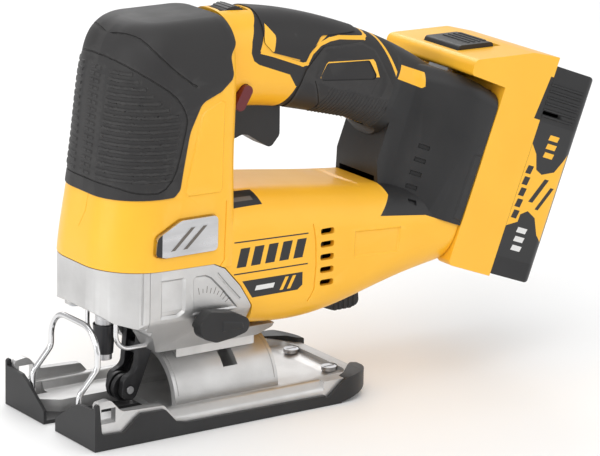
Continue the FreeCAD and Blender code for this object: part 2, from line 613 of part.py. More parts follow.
def build_drive():
    axis_z = GEAR_AXIS_Z
    gear_root = GEAR_MODULE * (GEAR_TEETH / 2 - 1.15)
    gear_tip = GEAR_MODULE * (GEAR_TEETH / 2 + 0.8)
    pinion_root = GEAR_MODULE * (PINION_TEETH / 2 - 1.1)
    pinion_tip = GEAR_MODULE * (PINION_TEETH / 2 + 0.8)
    mesh_phase = -math.pi / 2 + math.pi / GEAR_TEETH
    gear = gear_blank(GEAR_TEETH, gear_root, gear_tip, GEAR_X, axis_z, mesh_phase)
    gear = gear.fuse(rod(vec(GEAR_X[0], 0, axis_z), vec(GEAR_X[1] + 3.0, 0, axis_z), 6.5))
    gear = gear.cut(rod(vec(0, 0, axis_z), vec(60, 0, axis_z), 3.0 + RUNNING_CLEARANCE))
    for hole in range(5):
        angle = CRANK_ANGLE + math.pi / 6 * (hole + 0.5) + math.pi / 3
        spot = vec(0, 14.5 * math.cos(angle), axis_z + 14.5 * math.sin(angle))
        gear = gear.cut(rod(spot, spot + vec(60, 0, 0), 2.6))
    save("drive_gear", gear)
    pin_y = CRANK_RADIUS * math.cos(CRANK_ANGLE)
    pin_z = axis_z - CRANK_RADIUS * math.sin(CRANK_ANGLE)
    save("crank_pin", rod(vec(11.4, pin_y, pin_z), vec(GEAR_X[0], pin_y, pin_z), 3.0))
    save("gear_axle", rod(vec(17.5, 0, axis_z), vec(46.0, 0, axis_z), 3.0))
    pinion = gear_blank(PINION_TEETH, pinion_root, pinion_tip, (GEAR_X[0] - 1, GEAR_X[1] + 1),
                        MOTOR_AXIS_Z, math.pi / 2)
    pinion = pinion.cut(rod(vec(0, 0, MOTOR_AXIS_Z), vec(60, 0, MOTOR_AXIS_Z), 2.0))
    save("motor_pinion", pinion)
    slim = rod(vec(GEAR_X[0] - 1, 0, MOTOR_AXIS_Z), vec(GEAR_X[1] + 1, 0, MOTOR_AXIS_Z), 2.0)
    shaft = rod(vec(GEAR_X[1] + 1, 0, MOTOR_AXIS_Z), vec(122, 0, MOTOR_AXIS_Z), SHAFT_RADIUS)
    save("motor_shaft", shaft.fuse(slim).removeSplitter())
    save("motor_rotor", tube(vec(74, 0, MOTOR_AXIS_Z), vec(106, 0, MOTOR_AXIS_Z), 12.8, SHAFT_RADIUS))
    fan = tube(vec(60, 0, MOTOR_AXIS_Z), vec(62, 0, MOTOR_AXIS_Z), FAN_RADIUS, SHAFT_RADIUS)
    for blade in range(11):
        angle = 360.0 / 11 * blade
        vane = box((62.0, 68.0), (9.0, FAN_RADIUS - 0.5), (-0.6, 0.6))
        vane.rotate(vec(0, 0, 0), vec(1, 0, 0), angle)
        vane.translate(vec(0, 0, MOTOR_AXIS_Z))
        fan = fan.fuse(vane)
    hub = tube(vec(62, 0, MOTOR_AXIS_Z), vec(69, 0, MOTOR_AXIS_Z), 6.0, SHAFT_RADIUS)
    save("cooling_fan", fan.fuse(hub).removeSplitter())
    stator = tube(vec(74, 0, MOTOR_AXIS_Z), vec(106, 0, MOTOR_AXIS_Z), 25.0, 21.0)
    windings = []
    for pole in range(6):
        angle = 60.0 * pole
        leg = box((74.0, 106.0), (-3.0, 3.0), (15.5, 22.0))
        shoe = tube(vec(74, 0, 0), vec(106, 0, 0), 16.6, 13.4).common(box((70, 110), (-6.5, 6.5), (0, 30)))
        coil = box((71.5, 108.5), (-5.6, 5.6), (16.9, 20.1)).cut(box((74.0, 106.0), (-3.0, 3.0), (10, 30)))
        for part in (leg, shoe, coil):
            part.rotate(vec(0, 0, 0), vec(1, 0, 0), angle)
            part.translate(vec(0, 0, MOTOR_AXIS_Z))
        stator = stator.fuse(leg).fuse(shoe)
        windings.append(coil)
    save("motor_stator", stator.removeSplitter())
    save("motor_windings", windings)
    bearings = [tube(vec(x[0], 0, MOTOR_AXIS_Z), vec(x[1], 0, MOTOR_AXIS_Z), BEARING_OUTER,
                     SHAFT_RADIUS + RUNNING_CLEARANCE) for x in (FRONT_BEARING_X, REAR_BEARING_X)]
    save("motor_bearings", bearings)
    end_plate = rod(vec(110, 0, MOTOR_AXIS_Z), vec(122, 0, MOTOR_AXIS_Z), 13.0)
    end_plate = end_plate.fuse(rod(vec(110, 0, MOTOR_AXIS_Z), vec(113, 0, MOTOR_AXIS_Z), 25.0))
    end_plate = end_plate.cut(rod(vec(100, 0, MOTOR_AXIS_Z), vec(120, 0, MOTOR_AXIS_Z), BEARING_OUTER))
    end_plate = end_plate.cut(rod(vec(100, 0, MOTOR_AXIS_Z), vec(130, 0, MOTOR_AXIS_Z), SHAFT_RADIUS + 1))
    save("motor_end_plate", end_plate)


def build_guards():
    """Lamp lens and the two finger-guard wires under the nose."""
    save("lamp_lens", rod(LAMP_FOOT, LAMP_FOOT + vec(0, 0, 7.0), LAMP_RADIUS))
    wires = []
    for side in (-1, 1):
        y = side * GUARD_HALF_WIDTH
        path = [vec(-1.5, y, GUARD_ROOT_Z), vec(-1.5, y, 38.4), vec(19.5, y, 38.4)]
        wires.append(bent_rod(path, [8.0], GUARD_WIRE))
    save("finger_guards", wires)


def build_plunger():
    rod_foot = CLAMP_HEAD_Z
    plunger = rod(vec(0, 0, rod_foot), vec(0, 0, UPPER_BUSH_Z[1] + 0.5), PLUNGER_RADIUS)
    yoke = box((4.4, 11.0), (-18.0, 18.0), (YOKE_Z - 7.5, YOKE_Z + 7.5))
    yoke = yoke.fuse(box((-4.6, 11.0), (-8.0, 8.0), (YOKE_Z - 7.5, YOKE_Z + 7.5)))
    slot = side_prism(rectangle((4.9, 12.0), (YOKE_Z - 3.4, YOKE_Z + 3.4), 0.5), (-16.6, 16.6))
    save("plunger", plunger.fuse(yoke).cut(slot).removeSplitter())
    clamp = Part.makeCone(4.6, CLAMP_RADIUS, CLAMP_HEAD_Z - CLAMP_FOOT_Z - 3.0,
                          vec(0, 0, CLAMP_FOOT_Z + 3.0))
    slot = box((-3.6, 3.6), (-0.9, 0.9), (CLAMP_FOOT_Z - 1, CLAMP_HEAD_Z - 2.0))
    save("clamp_sleeve", clamp.cut(rod(vec(0, 0, CLAMP_FOOT_Z), vec(0, 0, CLAMP_HEAD_Z), 4.0)).cut(slot))
    core = rod(vec(0, 0, CLAMP_FOOT_Z), vec(0, 0, CLAMP_HEAD_Z), 4.0)
    core = core.cut(slot)
    save("clamp_core", core)


def build_orbit():
    arms = [side_prism([(15.8, 44.5, 3.0), (24.5, 44.0, 3.0), (23.2, 34.0, 4.0), (18.2, 21.0, 6.0),
                        (13.0, 8.4, 4.0), (5.4, 10.4, 4.0), (6.8, 20.6, 4.0), (14.0, 24.0, 5.0)], y)
            for y in ((-8.0, -4.0), (4.0, 8.0))]
    bridge = side_prism([(16.5, 30.0, 1.0), (22.0, 32.0, 1.0), (22.8, 37.0, 1.0), (17.0, 36.6, 1.0)],
                        (-4.5, 4.5))
    fork = joined(arms + [bridge])
    for centre, radius in ((FORK_PIVOT, 1.5 + RUNNING_CLEARANCE), ((ROLLER_X, ROLLER_Z), 2.0)):
        fork = fork.cut(rod(vec(centre[0], -20, centre[1]), vec(centre[0], 20, centre[1]), radius))
    save("orbit_fork", fork)
    roller = tube(vec(ROLLER_X, -3.6, ROLLER_Z), vec(ROLLER_X, 3.6, ROLLER_Z), ROLLER_RADIUS,
                  2.0 + RUNNING_CLEARANCE)
    groove = tube(vec(ROLLER_X, -0.9, ROLLER_Z), vec(ROLLER_X, 0.9, ROLLER_Z), ROLLER_RADIUS + 1,
                  ROLLER_RADIUS - 1.6)
    save("orbit_roller", roller.cut(groove))
    save("roller_pin", rod(vec(ROLLER_X, -8.6, ROLLER_Z), vec(ROLLER_X, 8.6, ROLLER_Z), 2.0))


def lever_outline(grow):
    low, high = LEVER_Z[0] - grow, LEVER_Z[1] + grow
    front, rear = LEVER_X[0] - grow, LEVER_X[1] + grow
    return [(front, low + 1.5, 2.0), (front + 1.0, high - 7.0, 4.0), (front + 14.5, high, 6.0),
            (rear, high, 2.5), (rear, low, 2.5), (front + 6.0, low, 4.0)]


def lever_hinge():
    x, y = LEVER_X[1] - 1.2, LEVER_Y[0] + 1.0
    return vec(x, y, LEVER_Z[0] + 1.0), vec(x, y, LEVER_Z[1] - 1.0)


def build_pins():
    """Dowel pins of the trigger, the dial, the fork and the release lever."""
    def across(spot, half, radius):
        return rod(vec(spot[0], -half, spot[1]), vec(spot[0], half, spot[1]), radius)

    save("pivot_pins", [across(TRIGGER_PIVOT, 9.0, 1.5), across(DIAL_AXIS, DIAL_HALF_WIDTH + 2.0, 2.0),
                        across(FORK_PIVOT, 13.0, 1.5), rod(*lever_hinge(), 0.7)])


def build_lever():
    """Blade-release lever on the left side, hinged on an upright pin at its rear edge."""
    plate = side_prism(lever_outline(0.0), LEVER_Y)
    scoop_x, scoop_y = LEVER_X[0] - 2.0, LEVER_Y[1] + 6.0
    scoop = rod(vec(scoop_x, scoop_y, 0), vec(scoop_x, scoop_y, 200), 8.0)
    scoop = scoop.common(box((0, LEVER_X[0] + 5.0), (-60, 0), (LEVER_Z[0] + 2.0, LEVER_Z[1] - 8.0)))
    plate = plate.cut(scoop).cut(rod(*lever_hinge(), 0.7 + RUNNING_CLEARANCE))
    save("release_lever", plate)


# ---------------------------------------------------------------- shoe
PLATE_HALF_WIDTH = SHOE_HALF_WIDTH - COVER_WALL
PLATE_REAR_X = SHOE_REAR_X - COVER_WALL
PLATE_CORNER = SHOE_CORNER - COVER_WALL
LIP_START_X = 112.0             # the underside turns up from here to the rear edge
LIP_Z = (7.0, 10.6)             # rear edge, underside and top
RIM_WIDTH = 8.2
HOOK_X = 106.0                  # the cover hooks over the corners from here back
HOOK_HALF_WIDTH = 24.0          # and leaves this much of the rear edge bare
HOOK_TOP_Z = 12.6
RIM_TOP_Z = 12.4
BLADE_GAP = 13.5                # half width of the gap in the cast plate
SOLE_SLOT = 5.5                 # half width of the slot in the slip-on sole
SHOE_SCREW = (124.0, 17.0)      # plan place of the cover screws
SHOE_SCREW_SEAT_Z = 9.0
GUARD_FOOT_X = -27.4
GUARD_STEP = 10.4               # the arch stands this far behind its feet
GUARD_LEG_Y = 22.0
GUARD_TOP_Z = 53.0
GUARD_RADIUS = 1.5


def build_shoe():
    half = PLATE_HALF_WIDTH
    section = [(-half, SOLE_THICKNESS, 0), (-half, 8.6, 3.0), (-37.0, RIM_TOP_Z, 3.0),
               (-33.0, RIM_TOP_Z, 2.0), (-30.6, PLATE_TOP_Z, 1.5), (30.6, PLATE_TOP_Z, 1.5),
               (33.0, RIM_TOP_Z, 2.0), (37.0, RIM_TOP_Z, 3.0), (half, 8.6, 3.0), (half, SOLE_THICKNESS, 0)]
    deck = end_prism(section, (SHOE_FRONT_X + COVER_WALL, LIP_START_X))
    lip = side_prism([(LIP_START_X - 8.0, SOLE_THICKNESS, 0), (LIP_START_X, SOLE_THICKNESS, 12.0),
                      (PLATE_REAR_X, LIP_Z[0], 0.8), (PLATE_REAR_X, LIP_Z[1], 1.0),
                      (120.0, PLATE_TOP_Z, 9.0), (LIP_START_X - 8.0, PLATE_TOP_Z, 0)], (-half, half))
    rim_line = [(LIP_START_X - 8.0, SOLE_THICKNESS, 0), (LIP_START_X, SOLE_THICKNESS, 12.0),
                (PLATE_REAR_X, LIP_Z[0], 0.8), (PLATE_REAR_X, LIP_Z[1], 1.0),
                (118.0, RIM_TOP_Z, 9.0), (LIP_START_X - 8.0, RIM_TOP_Z, 0)]
    inside = plan_prism([(80.0, -half + RIM_WIDTH, 0), (PLATE_REAR_X - RIM_WIDTH, -half + RIM_WIDTH, 10.0),
                         (PLATE_REAR_X - RIM_WIDTH, half - RIM_WIDTH, 10.0), (80.0, half - RIM_WIDTH, 0)],
                        (0.0, 40.0))
    rim = side_prism(rim_line, (-half, half)).cut(inside)
    plan = plan_prism([(SHOE_FRONT_X + COVER_WALL, -half, 2.0), (PLATE_REAR_X, -half, PLATE_CORNER),
                       (PLATE_REAR_X, half, PLATE_CORNER), (SHOE_FRONT_X + COVER_WALL, half, 2.0)],
                      (0.0, 40.0))
    flank = [(SHOE_FRONT_X + 2.0, 4.0, 0), (SHOE_FRONT_X + 2.0, 23.5, 2.0), (-21.5, 24.5, 4.0),
             (-15.0, 17.4, 6.0), (9.0, 16.4, 2.0), (16.0, 8.6, 4.0), (24.0, 8.0, 0), (24.0, 4.0, 0)]
    flanks = [side_prism(flank, y) for y in ((-half, -half + 4.0), (half - 4.0, half))]
    filled = joined([deck, lip, rim] + flanks).common(plan)
    saddle = tube(vec(SADDLE_X[0], 0, BEVEL_AXIS_Z), vec(SADDLE_X[1], 0, BEVEL_AXIS_Z), SADDLE_RADIUS,
                  SADDLE_RADIUS - 3.5)
    saddle = saddle.common(box((0, 100), (-40, 40), (6.0, 60)))
    hollow = rod(vec(SADDLE_X[0] - 1, 0, BEVEL_AXIS_Z), vec(SADDLE_X[1] - 3.5, 0, BEVEL_AXIS_Z),
                 SADDLE_RADIUS - 3.5).common(box((0, 100), (-40, 40), (4.5, 60)))
    end_wall = rod(vec(SADDLE_X[1] - 3.5, 0, BEVEL_AXIS_Z), vec(SADDLE_X[1], 0, BEVEL_AXIS_Z),
                   SADDLE_RADIUS).common(box((0, 100), (-40, 40), (6.0, 60)))
    plate = joined([filled.cut(hollow), saddle, end_wall])
    notch = plan_prism([(-60.0, -26.0, 0), (-28.0, -22.0, 3.0), (-16.0, -BLADE_GAP, 4.0),
                        (24.0, -BLADE_GAP, 3.0), (24.0, BLADE_GAP, 3.0), (-16.0, BLADE_GAP, 4.0),
                        (-28.0, 22.0, 3.0), (-60.0, 26.0, 0)], (0.0, 40.0))
    bolt_slot = box((BEVEL_BOLT_X - 4.2, BEVEL_BOLT_X + 4.2), (-22.4, 22.4), (20.5, 40.0))
    pockets = [box((-26.0, -16.0), (side * 30.0 - 3.2, side * 30.0 + 3.2), (4.0, 20.0)) for side in (-1, 1)]
    windows = [box((-26.5, -18.5), (min(side * 30, side * 50), max(side * 30, side * 50)), (12.8, 20.4))
               for side in (-1, 1)]
    cuts = [notch, bolt_slot] + pockets + windows
    for side in (-1, 1):
        screw_y, leg_y = side * SHOE_SCREW[1], side * GUARD_LEG_Y
        cuts.append(rod(vec(SHOE_SCREW[0], screw_y, 0), vec(SHOE_SCREW[0], screw_y, 30), 2.2))
        cuts.append(rod(vec(SHOE_SCREW[0], screw_y, SHOE_SCREW_SEAT_Z),
                        vec(SHOE_SCREW[0], screw_y, 30), 4.3))
        cuts.append(rod(vec(GUARD_FOOT_X, leg_y, 2), vec(GUARD_FOOT_X, leg_y, 30), GUARD_RADIUS))
    plate = minus(plate, cuts)
    save("shoe_plate", plate)

    wide = SHOE_HALF_WIDTH
    cover_plan = plan_prism([(SHOE_FRONT_X, -wide, 3.0), (SHOE_REAR_X, -wide, SHOE_CORNER),
                             (SHOE_REAR_X, wide, SHOE_CORNER), (SHOE_FRONT_X, wide, 3.0)], (0.0, 40.0))
    floor = box((SHOE_FRONT_X, LIP_START_X + 2.0), (-wide, wide), (0.0, SOLE_THICKNESS))
    floor = floor.common(cover_plan)
    wall_line = [(SHOE_FRONT_X, 0.0, 1.5), (SHOE_FRONT_X, 23.4, 1.5), (-28.6, 24.0, 1.0), (-27.0, 8.0, 2.0),
                 (-14.5, 7.4, 3.0), (-8.0, 13.0, 3.0), (-4.5, 15.2, 2.0), (9.0, 14.8, 2.0), (15.5, 7.6, 3.0),
                 (22.0, 6.2, 6.0), (104.0, 5.6, 0), (104.0, 0.0, 0)]
    walls = [side_prism(wall_line, y) for y in ((-wide, -half - 0.02), (half + 0.02, wide))]
    front = end_prism([(-wide, 0.0, 0), (-wide, 20.6, 1.0), (-27.0, 20.0, 2.0),
                       (-21.0, 17.0, 2.0), (-5.0, 6.5, 3.0), (5.0, 6.5, 3.0), (21.0, 17.0, 2.0),
                       (27.0, 20.0, 2.0), (wide, 20.6, 1.0), (wide, 0.0, 0)],
                      (SHOE_FRONT_X, SHOE_FRONT_X + 1.7))
    hook_line = [(HOOK_X - 4.0, 0.0, 0), (LIP_START_X, 0.0, 14.0), (SHOE_REAR_X, LIP_Z[0] - 1.4, 2.0),
                 (SHOE_REAR_X, HOOK_TOP_Z, 1.2), (128.0, HOOK_TOP_Z + 1.6, 6.0), (116.0, HOOK_TOP_Z, 6.0),
                 (HOOK_X, 4.6, 2.0), (HOOK_X - 4.0, 4.6, 0)]
    corners = []
    for side in (-1, 1):
        over = plan_prism([(HOOK_X - 4.0, side * wide, 0), (HOOK_X + 2.0, side * (half - 1.0), 0),
                           (HOOK_X + 14.0, side * (half - 6.0), 8.0),
                           (PLATE_REAR_X - 3.0, side * HOOK_HALF_WIDTH, 3.0),
                           (SHOE_REAR_X, side * HOOK_HALF_WIDTH, 0), (SHOE_REAR_X, side * wide, 0)],
                          (0.0, 40.0))
        hook = side_prism(hook_line, (-wide, wide)).common(over)
        corners.append(hook.common(cover_plan))
    cover = joined([floor, front] + walls + corners)
    sole_slot = plan_prism([(-60.0, -SOLE_SLOT, 0), (26.0, -SOLE_SLOT, 3.0), (26.0, SOLE_SLOT, 3.0),
                            (-60.0, SOLE_SLOT, 0)], (-1.0, 8.0))
    cover = minus(cover, [sole_slot, filled])
    save("sole_cover", cover)

    back = GUARD_FOOT_X + GUARD_STEP
    path = []
    for side in (-1, 1):
        y = side * GUARD_LEG_Y
        leg = [vec(GUARD_FOOT_X, y, 3.0), vec(GUARD_FOOT_X, y, 22.0), vec(back, y, 34.0),
               vec(back, y, GUARD_TOP_Z)]
        path += leg if side < 0 else leg[::-1]
    guard = bent_rod(path, [6.0, 6.0, 14.0, 14.0, 6.0, 6.0], GUARD_RADIUS)
    save("wire_guard", guard)
    screws = []
    for side in (-1, 1):
        top = vec(SHOE_SCREW[0], side * SHOE_SCREW[1], SHOE_SCREW_SEAT_Z)
        screws.append(rod(top - vec(0, 0, 3.8), top, 2.2))
        screws.append(rod(top, top + vec(0, 0, 1.9), 4.0))
    save("shoe_screws", joined(screws))


def build_bevel_clamp():
    """Bolt through the saddle slot, its nut, and the swing lever that tightens it."""
    x = BEVEL_BOLT_X
    nut = box((x - 6.0, x + 6.0), (-5.0, 5.0), (26.0, 30.0))
    bolt = rod(vec(x, 0, 26.5), vec(x, 0, 45.5), BOLT_RADIUS)
    bolt = bolt.fuse(rod(vec(x, 0, ARM_Z[1] + 0.1), vec(x, 0, 45.5), 4.4))
    save("clamp_nut", nut.cut(rod(vec(x, 0, 0), vec(x, 0, 60), BOLT_RADIUS)))
    save("clamp_bolt", bolt)
    arm = rod(vec(x, 0, ARM_Z[0]), vec(x, 0, ARM_Z[1]), 7.0)
    arm = arm.fuse(box((x, 130.0), (-5.0, 5.0), ARM_Z)).removeSplitter()
    arm = arm.cut(rod(vec(x, 0, 30), vec(x, 0, 60), BOLT_RADIUS + RUNNING_CLEARANCE))
    save("bevel_lever_arm", arm)
    line = [(122.8, 40.4, 2.0), (125.6, 44.6, 3.0), (131.0, 47.4, 4.0), (138.0, 49.8, 4.0),
            (BEVEL_LEVER_END_X - 1.0, 49.8, 3.0), (BEVEL_LEVER_END_X, 38.8, 3.0),
            (143.0, 36.8, 3.0), (132.0, 36.8, 4.0)]
    grip = side_prism(line, (-9.0, 9.0))
    for rib in range(5):
        centre = vec(131.5 + 3.0 * rib, 0, 0)
        for side in (-1, 1):
            spot = centre + vec(0, side * 9.4, 20)
            grip = grip.cut(rod(spot, spot + vec(0, 0, 60), 0.9))
    save("bevel_lever_grip", grip.cut(box((100.0, 130.0), (-5.0, 5.0), ARM_Z)))


# ---------------------------------------------------------------- battery
def build_battery():
    half = BATTERY_HALF_WIDTH
    face = MOUNT_PLANE + BATTERY_GAP
    side = [(face, BATTERY_FOOT_T, 3.0), (CASE_SPLIT, BATTERY_FOOT_T, 0), (CASE_SPLIT, 238.6, 0),
            (162.0, BATTERY_HEAD_T, 12.0), (125.5, 224.0, 4.0), (126.5, 216.4, 2.0), (face, 215.4, 1.0)]
    inner_side = [(165.6, BATTERY_FOOT_T + 2.4, 1.0), (CASE_SPLIT + 1, BATTERY_FOOT_T + 2.4, 0),
                  (CASE_SPLIT + 1, 236.0, 0), (163.0, 234.4, 10.0), (129.0, 222.0, 1.8), (129.6, 218.9, 1.0),
                  (165.6, 217.9, 1.0)]
    hollow = side_prism(inner_side, (-half + PACK_WALL, half - PACK_WALL))
    cover = side_prism(side, (-half, half)).cut(hollow)
    channel = box((face - 1, 161.0), (-27.0, 27.0), (100.0, 212.0))
    rails = [box((face, 154.2), y, (BATTERY_FOOT_T + 3, 206.0)) for y in ((-27.5, -22.4), (22.4, 27.5))]
    deep = box((160.0, 163.4), (-14.0, 14.0), (100.0, 212.0))
    window = box((131.1, 157.6), (-14.9, 14.9), (221.0, 260.0))
    window = window.fuse(box((130.9, 141.6), (-8.5, 8.5), (214, 222)))
    cover = cover.cut(channel).cut(deep)
    cover = joined([cover] + rails).cut(window)
    save("battery_cover", leaned(cover))

    case = box((CASE_SPLIT + 0.02, BATTERY_BACK), (-half, half), (122.0, 234.0))
    case = case.makeFillet(6.0, [edge for edge in case.Edges if edge.BoundBox.XMin > BATTERY_BACK - 1])
    room = box((CASE_SPLIT - 1, BATTERY_BACK - PACK_WALL), (-half + PACK_WALL, half - PACK_WALL),
               (122.0 + PACK_WALL, 234.0 - PACK_WALL))
    save("battery_case", leaned(case.cut(room)))

    cells = []
    for row in range(2):
        for column in range(5):
            spot = (177.2 + 19.0 * row, 138.0 + 19.2 * column)
            cells.append(leaned(rod(vec(spot[0], -32.5, spot[1]), vec(spot[0], 32.5, spot[1]), 9.2)))
    save("battery_cells", cells)
    save("battery_board", leaned(box((166.0, 167.6), (-30.0, 30.0), (130.0, 214.0))))
    terminals = box((159.0, 163.2), (-13.5, 13.5), (196.0, 211.5))
    terminals = terminals.cut(box((158.0, 162.0), (-12.0, 12.0), (180, 208.0)))
    save("battery_terminals", leaned(terminals))

    foot_plate = box((MOUNT_PLANE - FOOT_DEPTH, MOUNT_PLANE), (-FOOT_HALF_WIDTH, FOOT_HALF_WIDTH), FOOT_T)
    neck = box((MOUNT_PLANE - 1, 156.0), (-21.8, 21.8), (133.0, 205.0))
    flange = box((154.6, 158.6), (-26.4, 26.4), (133.0, 205.0))
    save("battery_foot", leaned(joined([foot_plate, neck, flange])))
    blades = [leaned(box((158.7, 161.4), (y - 0.5, y + 0.5), (176.0, 204.0)))
              for y in (-9.0, -3.0, 3.0, 9.0)]
    save("tool_contacts", blades)

    button = side_prism([(131.6, 222.5, 1.0), (131.6, 228.6, 2.0), (153.0, 236.2, 2.0), (153.0, 222.5, 1.0)],
                        (-14.5, 14.5))
    save("battery_button", leaned(button))
    latch = side_prism([(134.2, 222.4, 0), (134.2, 213.0, 0), (131.4, 212.0, 0), (131.4, 209.4, 0),
                        (137.4, 209.4, 1.0), (137.4, 222.4, 0)], (-8.0, 8.0))
    save("battery_latch", leaned(latch))
    save("button_spring", leaned(tube(vec(149, 0, 219.2), vec(149, 0, 222.4), 4.0, 3.0)))


def main():
    os.makedirs("parts", exist_ok=True)
    build_housing()
    build_screws()
    build_controls()
    build_gearcase()
    build_drive()
    build_guards()
    build_plunger()
    build_orbit()
    build_lever()
    build_pins()
    build_shoe()
    build_bevel_clamp()
    build_battery()


main()
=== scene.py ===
"""Looks of a cordless top-handle jigsaw, dressed round its fixed frame."""

import json
import logging
import math
from dataclasses import dataclass, field
from enum import Enum

import bmesh
import bpy
from mathutils import Matrix, Vector


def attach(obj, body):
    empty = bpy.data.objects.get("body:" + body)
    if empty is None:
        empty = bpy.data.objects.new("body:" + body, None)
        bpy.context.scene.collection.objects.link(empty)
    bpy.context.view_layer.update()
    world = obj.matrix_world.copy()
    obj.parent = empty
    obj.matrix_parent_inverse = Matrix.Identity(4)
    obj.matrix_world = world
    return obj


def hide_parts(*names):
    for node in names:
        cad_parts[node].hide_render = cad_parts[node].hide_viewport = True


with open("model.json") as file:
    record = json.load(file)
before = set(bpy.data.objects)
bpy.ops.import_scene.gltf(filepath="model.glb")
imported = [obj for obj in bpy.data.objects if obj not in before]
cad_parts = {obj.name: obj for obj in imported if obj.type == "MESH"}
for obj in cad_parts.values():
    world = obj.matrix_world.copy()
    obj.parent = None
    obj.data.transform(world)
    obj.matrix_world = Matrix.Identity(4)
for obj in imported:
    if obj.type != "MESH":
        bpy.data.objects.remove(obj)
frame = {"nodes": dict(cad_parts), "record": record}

LOG = logging.getLogger("jigsaw")
Colour = tuple[float, float, float]
Outline = list[tuple[float, float]]
# Lean of the pack's rails, and the ways off and up along them.
TILT = math.radians(20.3)
OFF_RAILS = (math.cos(TILT), 0, -math.sin(TILT))
UP_RAILS = (math.sin(TILT), 0, math.cos(TILT))
# Each part of a direction halfway between two axes.
DIAGONAL = math.sqrt(0.5)
# Further in than any face, in millimetres, so that it leaves none out.
ANYWHERE = -1000.0


def mm(value: float) -> float:
    """Millimetres as metres."""
    return value * 0.001


@dataclass(frozen=True)
class Facing:
    """A direction to work from: outward from the piece, and the two ways to measure across it."""

    outward: tuple[float, float, float]
    across: tuple[float, float, float]
    up: tuple[float, float, float]

    def place(self, u: float, v: float) -> Vector:
        """Point in metres for the outline coordinates u and v in millimetres."""
        return Vector(self.across) * mm(u) + Vector(self.up) * mm(v)


class Side(Enum):
    """The sides of the tool that outlines are drawn on."""

    LEFT = Facing((0, -1, 0), (1, 0, 0), (0, 0, 1))
    RIGHT = Facing((0, 1, 0), (1, 0, 0), (0, 0, 1))
    FRONT = Facing((-1, 0, 0), (0, 1, 0), (0, 0, 1))
    TOP = Facing((0, 0, 1), (1, 0, 0), (0, 1, 0))
    NOSE_LEFT = Facing((-DIAGONAL, -DIAGONAL, 0), (DIAGONAL, -DIAGONAL, 0), (0, 0, 1))
    NOSE_RIGHT = Facing((-DIAGONAL, DIAGONAL, 0), (DIAGONAL, DIAGONAL, 0), (0, 0, 1))
    PACK_LEFT = Facing((0, -1, 0), OFF_RAILS, UP_RAILS)
    PACK_RIGHT = Facing((0, 1, 0), OFF_RAILS, UP_RAILS)
    PACK_BACK = Facing(OFF_RAILS, (0, 1, 0), UP_RAILS)
    PACK_TOP = Facing(UP_RAILS, OFF_RAILS, (0, 1, 0))


